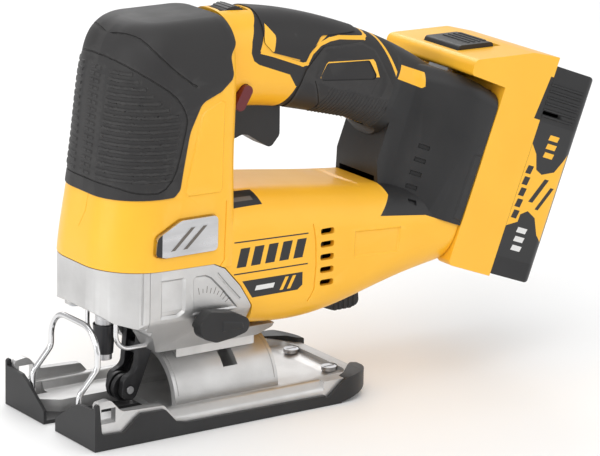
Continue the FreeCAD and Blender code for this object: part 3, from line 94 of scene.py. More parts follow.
# ------------------------------------------------------------------ finishes
class Effects:
    """Shader groups that several finishes share, each made once."""

    def __init__(self) -> None:
        """Build the grain, mottle, wear and dust groups."""
        self.grain = self._grain()
        self.mottle = self._mottle()
        self.wear = self._wear()
        self.dust = self._dust()

    def _group(self, name: str, inputs: list[tuple[str, str, object]],
               outputs: list[tuple[str, str]]) -> tuple[bpy.types.NodeTree, bpy.types.Node, bpy.types.Node]:
        """Empty group with its sockets.

        Args:
            name: name of the group.
            inputs: name, socket type and default of each input.
            outputs: name and socket type of each output.

        Returns:
            The group, its input node and its output node.
        """
        group = bpy.data.node_groups.new(name, "ShaderNodeTree")
        for label, kind, default in inputs:
            socket = group.interface.new_socket(label, in_out="INPUT", socket_type=kind)
            if default is not None:
                socket.default_value = default
        for label, kind in outputs:
            group.interface.new_socket(label, in_out="OUTPUT", socket_type=kind)
        return group, group.nodes.new("NodeGroupInput"), group.nodes.new("NodeGroupOutput")

    def _grain(self) -> bpy.types.NodeTree:
        """Fine surface grain: a height from two noises of different size.

        Returns:
            The finished group.
        """
        group, inside, outside = self._group(
            "fine_grain",
            [("Vector", "NodeSocketVector", None), ("Scale", "NodeSocketFloat", 900.0)],
            [("Height", "NodeSocketFloat")])
        fine = group.nodes.new("ShaderNodeTexNoise")
        fine.inputs["Detail"].default_value = 3.0
        coarse = group.nodes.new("ShaderNodeTexVoronoi")
        add = group.nodes.new("ShaderNodeMath")
        add.operation = "MULTIPLY_ADD"
        add.inputs[1].default_value = 0.6
        group.links.new(inside.outputs["Vector"], fine.inputs["Vector"])
        group.links.new(inside.outputs["Vector"], coarse.inputs["Vector"])
        group.links.new(inside.outputs["Scale"], fine.inputs["Scale"])
        group.links.new(inside.outputs["Scale"], coarse.inputs["Scale"])
        group.links.new(coarse.outputs["Distance"], add.inputs[0])
        group.links.new(fine.outputs["Fac"], add.inputs[2])
        group.links.new(add.outputs[0], outside.inputs["Height"])
        return group

    def _mottle(self) -> bpy.types.NodeTree:
        """Slow, cloudy change between two colours, and its mask.

        Returns:
            The finished group.
        """
        group, inside, outside = self._group(
            "soft_mottle",
            [("Vector", "NodeSocketVector", None), ("Scale", "NodeSocketFloat", 30.0),
             ("First", "NodeSocketColor", (1, 1, 1, 1)), ("Second", "NodeSocketColor", (0, 0, 0, 1))],
            [("Colour", "NodeSocketColor"), ("Mask", "NodeSocketFloat")])
        noise = group.nodes.new("ShaderNodeTexNoise")
        noise.inputs["Detail"].default_value = 5.0
        ramp = group.nodes.new("ShaderNodeMapRange")
        ramp.inputs["From Min"].default_value = 0.35
        ramp.inputs["From Max"].default_value = 0.65
        mix = group.nodes.new("ShaderNodeMix")
        mix.data_type = "RGBA"
        group.links.new(inside.outputs["Vector"], noise.inputs["Vector"])
        group.links.new(inside.outputs["Scale"], noise.inputs["Scale"])
        group.links.new(noise.outputs["Fac"], ramp.inputs["Value"])
        group.links.new(ramp.outputs["Result"], mix.inputs["Factor"])
        group.links.new(inside.outputs["First"], mix.inputs["A"])
        group.links.new(inside.outputs["Second"], mix.inputs["B"])
        group.links.new(mix.outputs["Result"], outside.inputs["Colour"])
        group.links.new(ramp.outputs["Result"], outside.inputs["Mask"])
        return group

    def _wear(self) -> bpy.types.NodeTree:
        """Rubbed edges: a mask from how sharply the surface turns, broken up by noise.

        Returns:
            The finished group.
        """
        group, inside, outside = self._group(
            "edge_wear",
            [("Vector", "NodeSocketVector", None), ("Amount", "NodeSocketFloat", 0.3)],
            [("Mask", "NodeSocketFloat")])
        turn = group.nodes.new("ShaderNodeNewGeometry")
        ramp = group.nodes.new("ShaderNodeMapRange")
        ramp.inputs["From Min"].default_value = 0.52
        ramp.inputs["From Max"].default_value = 0.62
        noise = group.nodes.new("ShaderNodeTexNoise")
        noise.inputs["Scale"].default_value = 160.0
        product = group.nodes.new("ShaderNodeMath")
        product.operation = "MULTIPLY"
        scaled = group.nodes.new("ShaderNodeMath")
        scaled.operation = "MULTIPLY"
        scaled.use_clamp = True
        group.links.new(turn.outputs["Pointiness"], ramp.inputs["Value"])
        group.links.new(inside.outputs["Vector"], noise.inputs["Vector"])
        group.links.new(ramp.outputs["Result"], product.inputs[0])
        group.links.new(noise.outputs["Fac"], product.inputs[1])
        group.links.new(product.outputs[0], scaled.inputs[0])
        group.links.new(inside.outputs["Amount"], scaled.inputs[1])
        group.links.new(scaled.outputs[0], outside.inputs["Mask"])
        return group

    def _dust(self) -> bpy.types.NodeTree:
        """Thin dust on faces that look up.

        Returns:
            The finished group.
        """
        group, inside, outside = self._group(
            "thin_dust",
            [("Vector", "NodeSocketVector", None), ("Amount", "NodeSocketFloat", 0.05)],
            [("Mask", "NodeSocketFloat")])
        normal = group.nodes.new("ShaderNodeNewGeometry")
        split = group.nodes.new("ShaderNodeSeparateXYZ")
        noise = group.nodes.new("ShaderNodeTexNoise")
        noise.inputs["Scale"].default_value = 70.0
        noise.inputs["Detail"].default_value = 6.0
        product = group.nodes.new("ShaderNodeMath")
        product.operation = "MULTIPLY"
        product.use_clamp = True
        scaled = group.nodes.new("ShaderNodeMath")
        scaled.operation = "MULTIPLY"
        scaled.use_clamp = True
        group.links.new(normal.outputs["Normal"], split.inputs["Vector"])
        group.links.new(inside.outputs["Vector"], noise.inputs["Vector"])
        group.links.new(split.outputs["Z"], product.inputs[0])
        group.links.new(noise.outputs["Fac"], product.inputs[1])
        group.links.new(product.outputs[0], scaled.inputs[0])
        group.links.new(inside.outputs["Amount"], scaled.inputs[1])
        group.links.new(scaled.outputs[0], outside.inputs["Mask"])
        return group


EFFECTS = Effects()
COAT_ROUGHNESS = 0.12
BUMP_STRENGTH = 0.6
DUST_COLOUR: Colour = (0.62, 0.58, 0.52)


@dataclass(frozen=True)
class Finish:
    """A maker's finish: colours, gloss, grain, wear and dust of one material, or a darker copy of one that
    stands for painted shade.
    """

    name: str
    slot: str
    colour: Colour
    second: Colour
    rubbed: Colour
    roughness: float
    roughness_spread: float = 0.08
    metallic: float = 0.0
    grain_scale: float = 900.0
    grain_height: float = 0.00003
    mottle_scale: float = 30.0
    wear: float = 0.3
    dust: float = 0.03
    coat: float = 0.0
    gloss: float = 0.5
    stretch: Colour = (1.0, 1.0, 1.0)

    def material(self) -> bpy.types.Material:
        """The Blender material, made the first time it is asked for.

        Returns:
            The material of this finish.
        """
        known = bpy.data.materials.get("finish_" + self.name)
        if known:
            return known
        material = bpy.data.materials.new("finish_" + self.name)
        material.use_nodes = True
        nodes, links = material.node_tree.nodes, material.node_tree.links
        shader = nodes["Principled BSDF"]
        shader.inputs["Metallic"].default_value = self.metallic
        shader.inputs["Specular IOR Level"].default_value = self.gloss
        shader.inputs["Coat Weight"].default_value = self.coat
        shader.inputs["Coat Roughness"].default_value = COAT_ROUGHNESS
        place = nodes.new("ShaderNodeTexCoord").outputs["Object"]
        mapped = nodes.new("ShaderNodeMapping")
        mapped.inputs["Scale"].default_value = self.stretch
        links.new(place, mapped.inputs["Vector"])
        mottle = self._placed(nodes, EFFECTS.mottle)
        mottle.inputs["Scale"].default_value = self.mottle_scale
        mottle.inputs["First"].default_value = (*self.colour, 1.0)
        mottle.inputs["Second"].default_value = (*self.second, 1.0)
        wear = self._placed(nodes, EFFECTS.wear)
        wear.inputs["Amount"].default_value = self.wear
        dust = self._placed(nodes, EFFECTS.dust)
        dust.inputs["Amount"].default_value = self.dust
        grain = self._placed(nodes, EFFECTS.grain)
        grain.inputs["Scale"].default_value = self.grain_scale
        for group in (mottle, wear, dust, grain):
            links.new(mapped.outputs["Vector"], group.inputs["Vector"])
        rubbed = self._blend(nodes, links, mottle.outputs["Colour"], self.rubbed, wear.outputs["Mask"])
        dusted = self._blend(nodes, links, rubbed, DUST_COLOUR, dust.outputs["Mask"])
        links.new(dusted, shader.inputs["Base Color"])
        rough = nodes.new("ShaderNodeMapRange")
        rough.inputs["To Min"].default_value = self.roughness
        rough.inputs["To Max"].default_value = self.roughness + self.roughness_spread
        links.new(mottle.outputs["Mask"], rough.inputs["Value"])
        links.new(rough.outputs["Result"], shader.inputs["Roughness"])
        bump = nodes.new("ShaderNodeBump")
        bump.inputs["Strength"].default_value = BUMP_STRENGTH
        bump.inputs["Distance"].default_value = self.grain_height
        links.new(grain.outputs["Height"], bump.inputs["Height"])
        links.new(bump.outputs["Normal"], shader.inputs["Normal"])
        return material

    @staticmethod
    def _placed(nodes: bpy.types.Nodes, group: bpy.types.NodeTree) -> bpy.types.Node:
        """One shared group placed in a material.

        Args:
            nodes: the material's nodes.
            group: the shared group.

        Returns:
            The node that holds it.
        """
        node = nodes.new("ShaderNodeGroup")
        node.node_tree = group
        return node

    @staticmethod
    def _blend(nodes: bpy.types.Nodes, links: bpy.types.NodeLinks, under: bpy.types.NodeSocket,
               over: Colour, mask: bpy.types.NodeSocket) -> bpy.types.NodeSocket:
        """A colour laid over another by a mask.

        Args:
            nodes: the material's nodes.
            links: the material's links.
            under: socket of the colour below.
            over: the colour laid on top.
            mask: socket that says how much of it shows.

        Returns:
            The socket of the mixed colour.
        """
        mix = nodes.new("ShaderNodeMix")
        mix.data_type = "RGBA"
        mix.inputs["B"].default_value = (*over, 1.0)
        links.new(under, mix.inputs["A"])
        links.new(mask, mix.inputs["Factor"])
        return mix.outputs["Result"]


YELLOW = Finish(
    "amber_shell", "housing_yellow",
    colour=(0.96, 0.50, 0.024), second=(0.93, 0.475, 0.020), rubbed=(0.98, 0.64, 0.12),
    roughness=0.34, roughness_spread=0.07, grain_scale=1500.0, grain_height=0.000012, wear=0.25,
    coat=0.12)
RUBBER = Finish(
    "soft_grip", "grip_black",
    colour=(0.021, 0.020, 0.021), second=(0.026, 0.025, 0.025), rubbed=(0.07, 0.068, 0.066),
    roughness=0.50, roughness_spread=0.12, grain_scale=1900.0, grain_height=0.00003, wear=0.4, dust=0.01,
    gloss=0.36)
MOULDED = Finish(
    "black_moulding", "case_black",
    colour=(0.017, 0.017, 0.018), second=(0.022, 0.022, 0.023), rubbed=(0.06, 0.06, 0.06),
    roughness=0.36, roughness_spread=0.10, grain_scale=1300.0, grain_height=0.00003, wear=0.3, dust=0.01,
    gloss=0.34)
CAST = Finish(
    "satin_casting", "cast_silver",
    colour=(0.62, 0.615, 0.61), second=(0.54, 0.535, 0.53), rubbed=(0.80, 0.80, 0.80),
    roughness=0.34, roughness_spread=0.12, metallic=0.82, grain_scale=1100.0, grain_height=0.00005,
    mottle_scale=45.0, wear=0.6)
# Darker copy of the satin casting: painted shade, laid on the shoe plate's top along its side edges.
PAINTED_SHADE_CAST = Finish(
    "painted_shade_casting", "cast_silver",
    colour=(0.34, 0.335, 0.33), second=(0.29, 0.285, 0.28), rubbed=(0.6, 0.6, 0.6),
    roughness=0.42, roughness_spread=0.12, metallic=0.8, grain_scale=1100.0, grain_height=0.00006,
    mottle_scale=45.0, wear=0.4)
STEEL = Finish(
    "turned_steel", "steel_bright",
    colour=(0.60, 0.60, 0.61), second=(0.50, 0.50, 0.51), rubbed=(0.8, 0.8, 0.8),
    roughness=0.24, roughness_spread=0.12, metallic=1.0, grain_scale=700.0, grain_height=0.00002,
    stretch=(1.0, 1.0, 6.0))
DARK_STEEL = Finish(
    "blackened_steel", "steel_dark",
    colour=(0.045, 0.045, 0.048), second=(0.03, 0.03, 0.032), rubbed=(0.25, 0.25, 0.25),
    roughness=0.34, roughness_spread=0.12, metallic=0.85, grain_height=0.00003, wear=0.6)
WIRE = Finish(
    "bright_wire", "wire_chrome",
    colour=(0.78, 0.78, 0.79), second=(0.70, 0.70, 0.71), rubbed=(0.9, 0.9, 0.9),
    roughness=0.14, roughness_spread=0.08, metallic=1.0, grain_height=0.000008)
BRONZE = Finish(
    "sintered_bronze", "bronze",
    colour=(0.46, 0.29, 0.12), second=(0.38, 0.23, 0.09), rubbed=(0.7, 0.5, 0.25),
    roughness=0.4, metallic=0.9)
COPPER = Finish(
    "winding_wire", "copper",
    colour=(0.55, 0.21, 0.07), second=(0.45, 0.16, 0.05), rubbed=(0.75, 0.4, 0.2),
    roughness=0.3, metallic=0.9, stretch=(1.0, 1.0, 8.0))
MAGNET = Finish(
    "laminated_iron", "magnet_steel",
    colour=(0.13, 0.13, 0.135), second=(0.09, 0.09, 0.095), rubbed=(0.3, 0.3, 0.3),
    roughness=0.45, metallic=0.7, stretch=(9.0, 1.0, 1.0))
CELL = Finish(
    "sleeved_cell", "cell_metal",
    colour=(0.16, 0.30, 0.42), second=(0.14, 0.27, 0.38), rubbed=(0.4, 0.5, 0.6),
    roughness=0.3, coat=0.2)
BOARD = Finish(
    "circuit_board", "board_green",
    colour=(0.02, 0.12, 0.04), second=(0.015, 0.09, 0.03), rubbed=(0.2, 0.4, 0.2),
    roughness=0.4)
LENS = Finish(
    "lamp_glass", "lens_clear",
    colour=(0.82, 0.85, 0.88), second=(0.78, 0.81, 0.84), rubbed=(0.95, 0.95, 0.95),
    roughness=0.08, grain_height=0.000004, coat=0.5)
DARK_RED = Finish(
    "safety_red", "dark_red",
    colour=(0.13, 0.006, 0.010), second=(0.10, 0.004, 0.008), rubbed=(0.3, 0.05, 0.05),
    roughness=0.36)
INK = Finish(
    "printed_black", "case_black",
    colour=(0.010, 0.010, 0.011), second=(0.014, 0.014, 0.015), rubbed=(0.05, 0.05, 0.05),
    roughness=0.30, roughness_spread=0.05, grain_height=0.000006, wear=0.1)
GREY_INK = Finish(
    "printed_grey", "case_black",
    colour=(0.11, 0.095, 0.08), second=(0.13, 0.11, 0.095), rubbed=(0.2, 0.2, 0.2),
    roughness=0.35, roughness_spread=0.05, grain_height=0.000006, wear=0.1)
PALE_INK = Finish(
    "printed_pale", "housing_yellow",
    colour=(0.75, 0.75, 0.74), second=(0.7, 0.7, 0.69), rubbed=(0.8, 0.8, 0.8),
    roughness=0.35, roughness_spread=0.05, grain_height=0.000006, wear=0.1)
BY_SLOT = {finish.slot: finish for finish in (YELLOW, RUBBER, MOULDED, CAST, STEEL, DARK_STEEL, WIRE, BRONZE,
                                              COPPER, MAGNET, CELL, BOARD, LENS, DARK_RED)}


# ------------------------------------------------------------------ outlines
def ribbon(points: Outline, width: float) -> list[Outline]:
    """Narrow four-cornered outlines that follow a line.

    Args:
        points: corners of the line, in millimetres.
        width: full width of the ribbon, in millimetres.

    Returns:
        One outline for each run of the line.
    """
    runs = []
    for (u0, v0), (u1, v1) in zip(points, points[1:]):
        length = math.hypot(u1 - u0, v1 - v0)
        du, dv = (u1 - u0) / length * width / 2, (v1 - v0) / length * width / 2
        runs.append([(u0 - du - dv, v0 - dv + du), (u0 - du + dv, v0 - dv - du),
                     (u1 + du + dv, v1 + dv - du), (u1 + du - dv, v1 + dv + du)])
    return runs


def eased(points: Outline, rounds: int = 2) -> Outline:
    """Line with its corners cut off again and again, so that it turns softly.

    Args:
        points: control points, in millimetres.
        rounds: how many times the corners are cut.

    Returns:
        The softened line, with the same two ends.
    """
    near, far = 0.75, 0.25
    line = points
    for _ in range(rounds):
        inner = []
        for (u0, v0), (u1, v1) in zip(line, line[1:]):
            inner.append((near * u0 + far * u1, near * v0 + far * v1))
            inner.append((far * u0 + near * u1, far * v0 + near * v1))
        line = [line[0], *inner[1:-1], line[-1]]
    return line


def bar(u: float, v: float, width: float, height: float, slant: float = 0.0) -> Outline:
    """Upright bar about its centre.

    Args:
        u: centre across.
        v: centre upwards.
        width: full width.
        height: full height.
        slant: how far the top is pushed over.

    Returns:
        Its outline, in the same units.
    """
    return [(u - width / 2 - slant / 2, v - height / 2), (u + width / 2 - slant / 2, v - height / 2),
            (u + width / 2 + slant / 2, v + height / 2), (u - width / 2 + slant / 2, v + height / 2)]


class Skin:
    """Shown surface of one node: its shape with softened edges, pressed details and printed areas."""

    MERGE_DISTANCE = 1e-6
    CUT_DISTANCE = 1e-7
    FLAT_ANGLE = math.radians(0.3)
    SMOOTH_ANGLE = math.radians(28.0)
    BEVEL_ANGLE = math.radians(32.0)
    MARGIN = 1e-6

    def __init__(self, node: str, body: str, finish: Finish) -> None:
        """Copy the node's shape.

        Args:
            node: name of the node that the skin stands for.
            body: body that it rides on.
            finish: finish of its main surface.
        """
        self.node, self.body = node, body
        self.finishes = [finish]
        self.bm = bmesh.new()
        self.bm.from_mesh(frame["nodes"][node].data)
        for face in self.bm.faces:
            face.material_index = 0
        bmesh.ops.remove_doubles(self.bm, verts=self.bm.verts, dist=self.MERGE_DISTANCE)
        bmesh.ops.dissolve_limit(self.bm, angle_limit=self.FLAT_ANGLE, verts=self.bm.verts,
                                 edges=self.bm.edges)

    def _under(self, side: Facing, low: tuple[float, float], high: tuple[float, float], facing: float,
               beyond: float) -> list[bmesh.types.BMFace]:
        """Faces that look to a side and reach into a rectangle drawn on it.

        Args:
            side: the side looked at.
            low: lowest outline coordinates of the rectangle, in metres.
            high: highest outline coordinates, in metres.
            facing: least agreement between a face and the side, 1 for straight on.
            beyond: least distance of a face along the outward way, in metres.

        Returns:
            The faces found.
        """
        outward, across, up = Vector(side.outward), Vector(side.across), Vector(side.up)
        found = []
        for face in self.bm.faces:
            if face.normal.dot(outward) < facing:
                continue
            us = [vert.co.dot(across) for vert in face.verts]
            vs = [vert.co.dot(up) for vert in face.verts]
            if min(us) > high[0] or max(us) < low[0] or min(vs) > high[1] or max(vs) < low[1]:
                continue
            if face.calc_center_median().dot(outward) >= beyond:
                found.append(face)
        return found

    def area(self, side: Side, outlines: list[Outline], facing: float = 0.55,
             beyond: float = ANYWHERE) -> list[bmesh.types.BMFace]:
        """Cut convex outlines into the faces that look to a side.

        Args:
            side: side that the outlines are drawn on.
            outlines: convex outlines, in millimetres.
            facing: least agreement between a face and the side.
            beyond: least distance of a face along the outward way, in millimetres.

        Returns:
            The faces inside any of the outlines.
        """
        view = side.value
        outward = Vector(view.outward)
        for outline in outlines:
            low, high = self._extent(outline)
            for (u0, v0), (u1, v1) in zip(outline, outline[1:] + outline[:1]):
                faces = self._under(view, low, high, facing, mm(beyond))
                edges = {edge for face in faces for edge in face.edges}
                verts = {vert for face in faces for vert in face.verts}
                normal = (view.place(u1, v1) - view.place(u0, v0)).cross(outward)
                bmesh.ops.bisect_plane(self.bm, geom=[*verts, *edges, *faces], dist=self.CUT_DISTANCE,
                                       plane_co=view.place(u0, v0), plane_no=normal)
        chosen = []
        for outline in outlines:
            low, high = self._extent(outline)
            for face in self._under(view, low, high, facing, mm(beyond)):
                if self._inside(face.calc_center_median(), view, outline) and face not in chosen:
                    chosen.append(face)
        return chosen

    @staticmethod
    def _extent(outline: Outline) -> tuple[tuple[float, float], tuple[float, float]]:
        """Lowest and highest coordinates of an outline, in metres."""
        us, vs = [mm(u) for u, _ in outline], [mm(v) for _, v in outline]
        return (min(us), min(vs)), (max(us), max(vs))

    @classmethod
    def _inside(cls, point: Vector, side: Facing, outline: Outline) -> bool:
        """Whether a point lies inside a convex outline seen from a side.

        Args:
            point: the point, in metres.
            side: the side looked at.
            outline: the convex outline, in millimetres.

        Returns:
            True where it lies inside or on the border.
        """
        u, v = point.dot(Vector(side.across)) * 1000.0, point.dot(Vector(side.up)) * 1000.0
        turns = [(u1 - u0) * (v - v0) - (v1 - v0) * (u - u0)
                 for (u0, v0), (u1, v1) in zip(outline, outline[1:] + outline[:1])]
        return all(turn >= -cls.MARGIN for turn in turns) or all(turn <= cls.MARGIN for turn in turns)

    def press(self, side: Side, outlines: list[Outline], depth: float, slope: float = 0.4,
              facing: float = 0.55, beyond: float = ANYWHERE) -> None:
        """Raise (depth above zero) or sink outlined areas, with sloping borders.

        Args:
            side: side that the outlines are drawn on.
            outlines: convex outlines, in millimetres.
            depth: height of the step, in millimetres.
            slope: width of its border, in millimetres.
            facing: least agreement between a face and the side.
            beyond: least distance of a face along the outward way, in millimetres.
        """
        faces = self.area(side, outlines, facing, beyond)
        if faces:
            bmesh.ops.inset_region(self.bm, faces=faces, thickness=mm(slope), depth=mm(depth),
                                   use_boundary=True, use_even_offset=True)
        LOG.debug("%s: %d faces pressed", self.node, len(faces))

    def score(self, side: Side, line: Outline, width: float = 0.7, depth: float = 0.4,
              facing: float = 0.4, beyond: float = ANYWHERE) -> None:
        """Cut a parting line or groove along a line.

        Args:
            side: side that the line is drawn on.
            line: corners of the line, in millimetres.
            width: full width of the groove, in millimetres.
            depth: how deep it goes, in millimetres.
            facing: least agreement between a face and the side.
            beyond: least distance of a face along the outward way, in millimetres.
        """
        border = width * 0.3
        self.press(side, ribbon(line, width), depth=-depth, slope=border, facing=facing, beyond=beyond)

    def tint(self, side: Side, outlines: list[Outline], finish: Finish, facing: float = 0.55,
             beyond: float = ANYWHERE) -> None:
        """Print outlined areas in another finish.

        Args:
            side: side that the outlines are drawn on.
            outlines: convex outlines, in millimetres.
            finish: the finish printed, or the painted shade.
            facing: least agreement between a face and the side.
            beyond: least distance of a face along the outward way, in millimetres.
        """
        if finish not in self.finishes:
            self.finishes.append(finish)
        for face in self.area(side, outlines, facing, beyond):
            face.material_index = self.finishes.index(finish)

    def make(self, soften: float = 0.25) -> bpy.types.Object:
        """Finish the piece and let it stand for its node.

        Args:
            soften: width of the softened edges, in millimetres; none at 0.

        Returns:
            The finished piece.
        """
        for face in self.bm.faces:
            face.smooth = True
        for edge in self.bm.edges:
            edge.smooth = edge.is_manifold and edge.calc_face_angle(0.0) < self.SMOOTH_ANGLE
        mesh = bpy.data.meshes.new(self.node + "_skin")
        self.bm.to_mesh(mesh)
        self.bm.free()
        for finish in self.finishes:
            mesh.materials.append(finish.material())
        piece = bpy.data.objects.new(self.node + "_skin", mesh)
        bpy.context.collection.objects.link(piece)
        if soften:
            bevel = piece.modifiers.new("softened_edges", "BEVEL")
            bevel.width = mm(soften)
            bevel.segments = 2
            bevel.limit_method = "ANGLE"
            bevel.angle_limit = self.BEVEL_ANGLE
            bevel.harden_normals = True
        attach(piece, self.body)
        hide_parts(self.node)
        LOG.info("%s: %d faces", piece.name, len(mesh.polygons))
        return piece


# ------------------------------------------------------------------ sub-assemblies
@dataclass
class NoseGrip:
    """Soft grip over the nose: ribbed front and sides between smooth strips, and a smooth cap."""

    rib_pitch: float = 3.4
    rib_height: float = 1.9
    rib_depth: float = 0.5
    low_z: float = 127.2
    rib_count: int = 16
    front_half: float = 4.6
    slope: float = 0.45
    front_gap: float = 0.4
    front_end: float = -1.6
    front_lean: float = 0.125
    back_end: float = 35.5
    back_lean: float = 0.13
    back_z: float = 124.9
    turn_z: float = 151.6
    widest: float = 38.9
    widest_z: float = 157.0
    taper: float = 1.02
    shortest: float = 4.0
    lower_line: Outline = field(default_factory=lambda: [
        (-9.0, 184.0), (10.0, 184.5), (34.0, 172.0), (42.0, 158.0), (41.0, 148.0), (36.0, 121.5),
        (22.0, 121.0), (8.0, 124.5), (-9.0, 124.5)])
    cap_line: Outline = field(default_factory=lambda: [
        (-1.0, 193.5), (12.0, 196.5), (24.0, 193.0), (46.0, 169.0), (53.0, 168.5), (60.0, 173.5)])

    def _side_rib(self, z: float) -> Outline | None:
        """Side rib at one height.

        Args:
            z: the height, in millimetres.

        Returns:
            Its outline, or None where there is no room for it.
        """
        start = self.front_end + self.front_lean * (z - self.low_z)
        if z < self.turn_z:
            end = self.back_end + self.back_lean * (z - self.back_z)
        else:
            end = min(self.widest, self.widest - self.taper * (z - self.widest_z))
        if end - start < self.shortest:
            return None
        return bar((start + end) / 2, z, end - start, self.rib_height)

    def build(self) -> None:
        """Make the left and right halves."""
        heights = [self.low_z + index * self.rib_pitch for index in range(self.rib_count)]
        side_ribs = [rib for rib in map(self._side_rib, heights) if rib]
        front_width = self.front_half - self.front_gap
        for tail, view, sign in (("left", Side.NOSE_LEFT, -1.0), ("right", Side.NOSE_RIGHT, 1.0)):
            skin = Skin("nose_grip_" + tail, "tool", RUBBER)
            front_ribs = [bar(sign * self.front_half / 2, z, front_width, self.rib_height) for z in heights]
            skin.press(view, side_ribs, depth=self.rib_depth, slope=self.slope, facing=0.3, beyond=2.0)
            skin.press(Side.FRONT, front_ribs, depth=self.rib_depth, slope=self.slope, facing=0.55,
                       beyond=-14.0)
            skin.score(view, eased(self.lower_line), width=0.9, depth=0.6, facing=0.25, beyond=2.0)
            skin.score(view, eased(self.cap_line), width=0.9, depth=0.6, facing=0.25, beyond=2.0)
            skin.make(soften=0.2)


@dataclass
class Handle:
    """Handle pads, with fine ribs under the fingers and a plain yellow plate."""

    rib_pitch: float = 2.0
    rib_count: int = 24
    rib_width: float = 1.0
    rib_start: float = 116.0
    rib_z: float = 150.0
    rib_fall: float = 0.30
    rib_length: float = 14.0
    rib_slant: float = 9.0
    plate: Outline = field(default_factory=lambda: [
        (112.9, 162.9), (116.4, 169.6), (117.6, 170.6), (145.4, 168.8), (146.6, 167.4), (149.4, 159.2)])

    def build(self) -> None:
        """Make the pads on top and round the handle."""
        for tail, side in (("left", Side.LEFT), ("right", Side.RIGHT)):
            skin = Skin("handle_grip_" + tail, "tool", RUBBER)
            ribs = []
            for index in range(self.rib_count):
                x = self.rib_start + index * self.rib_pitch
                z = self.rib_z - self.rib_fall * (x - self.rib_start)
                ribs.append(bar(x, z, self.rib_width, self.rib_length, self.rib_slant))
            skin.press(side, ribs, depth=0.35, slope=0.25, facing=0.2, beyond=6.0)
            skin.score(side, [(109.8, 161.5), (112.7, 153.1), (114.2, 149.3), (113.6, 145.0)], width=0.7,
                       depth=0.4, facing=0.2, beyond=5.0)
            skin.tint(side, [self.plate], YELLOW, facing=0.6, beyond=12.0)
            skin.make(soften=0.2)
            top = Skin("top_grip_" + tail, "tool", RUBBER)
            top.tint(side, Housing.front_plate(), YELLOW, facing=0.1, beyond=8.0)
            stripe = ribbon(Housing.upper_stripe(), Housing.upper_width)
            top.tint(side, stripe, YELLOW, facing=0.1, beyond=8.0)
            top.make(soften=0.2)


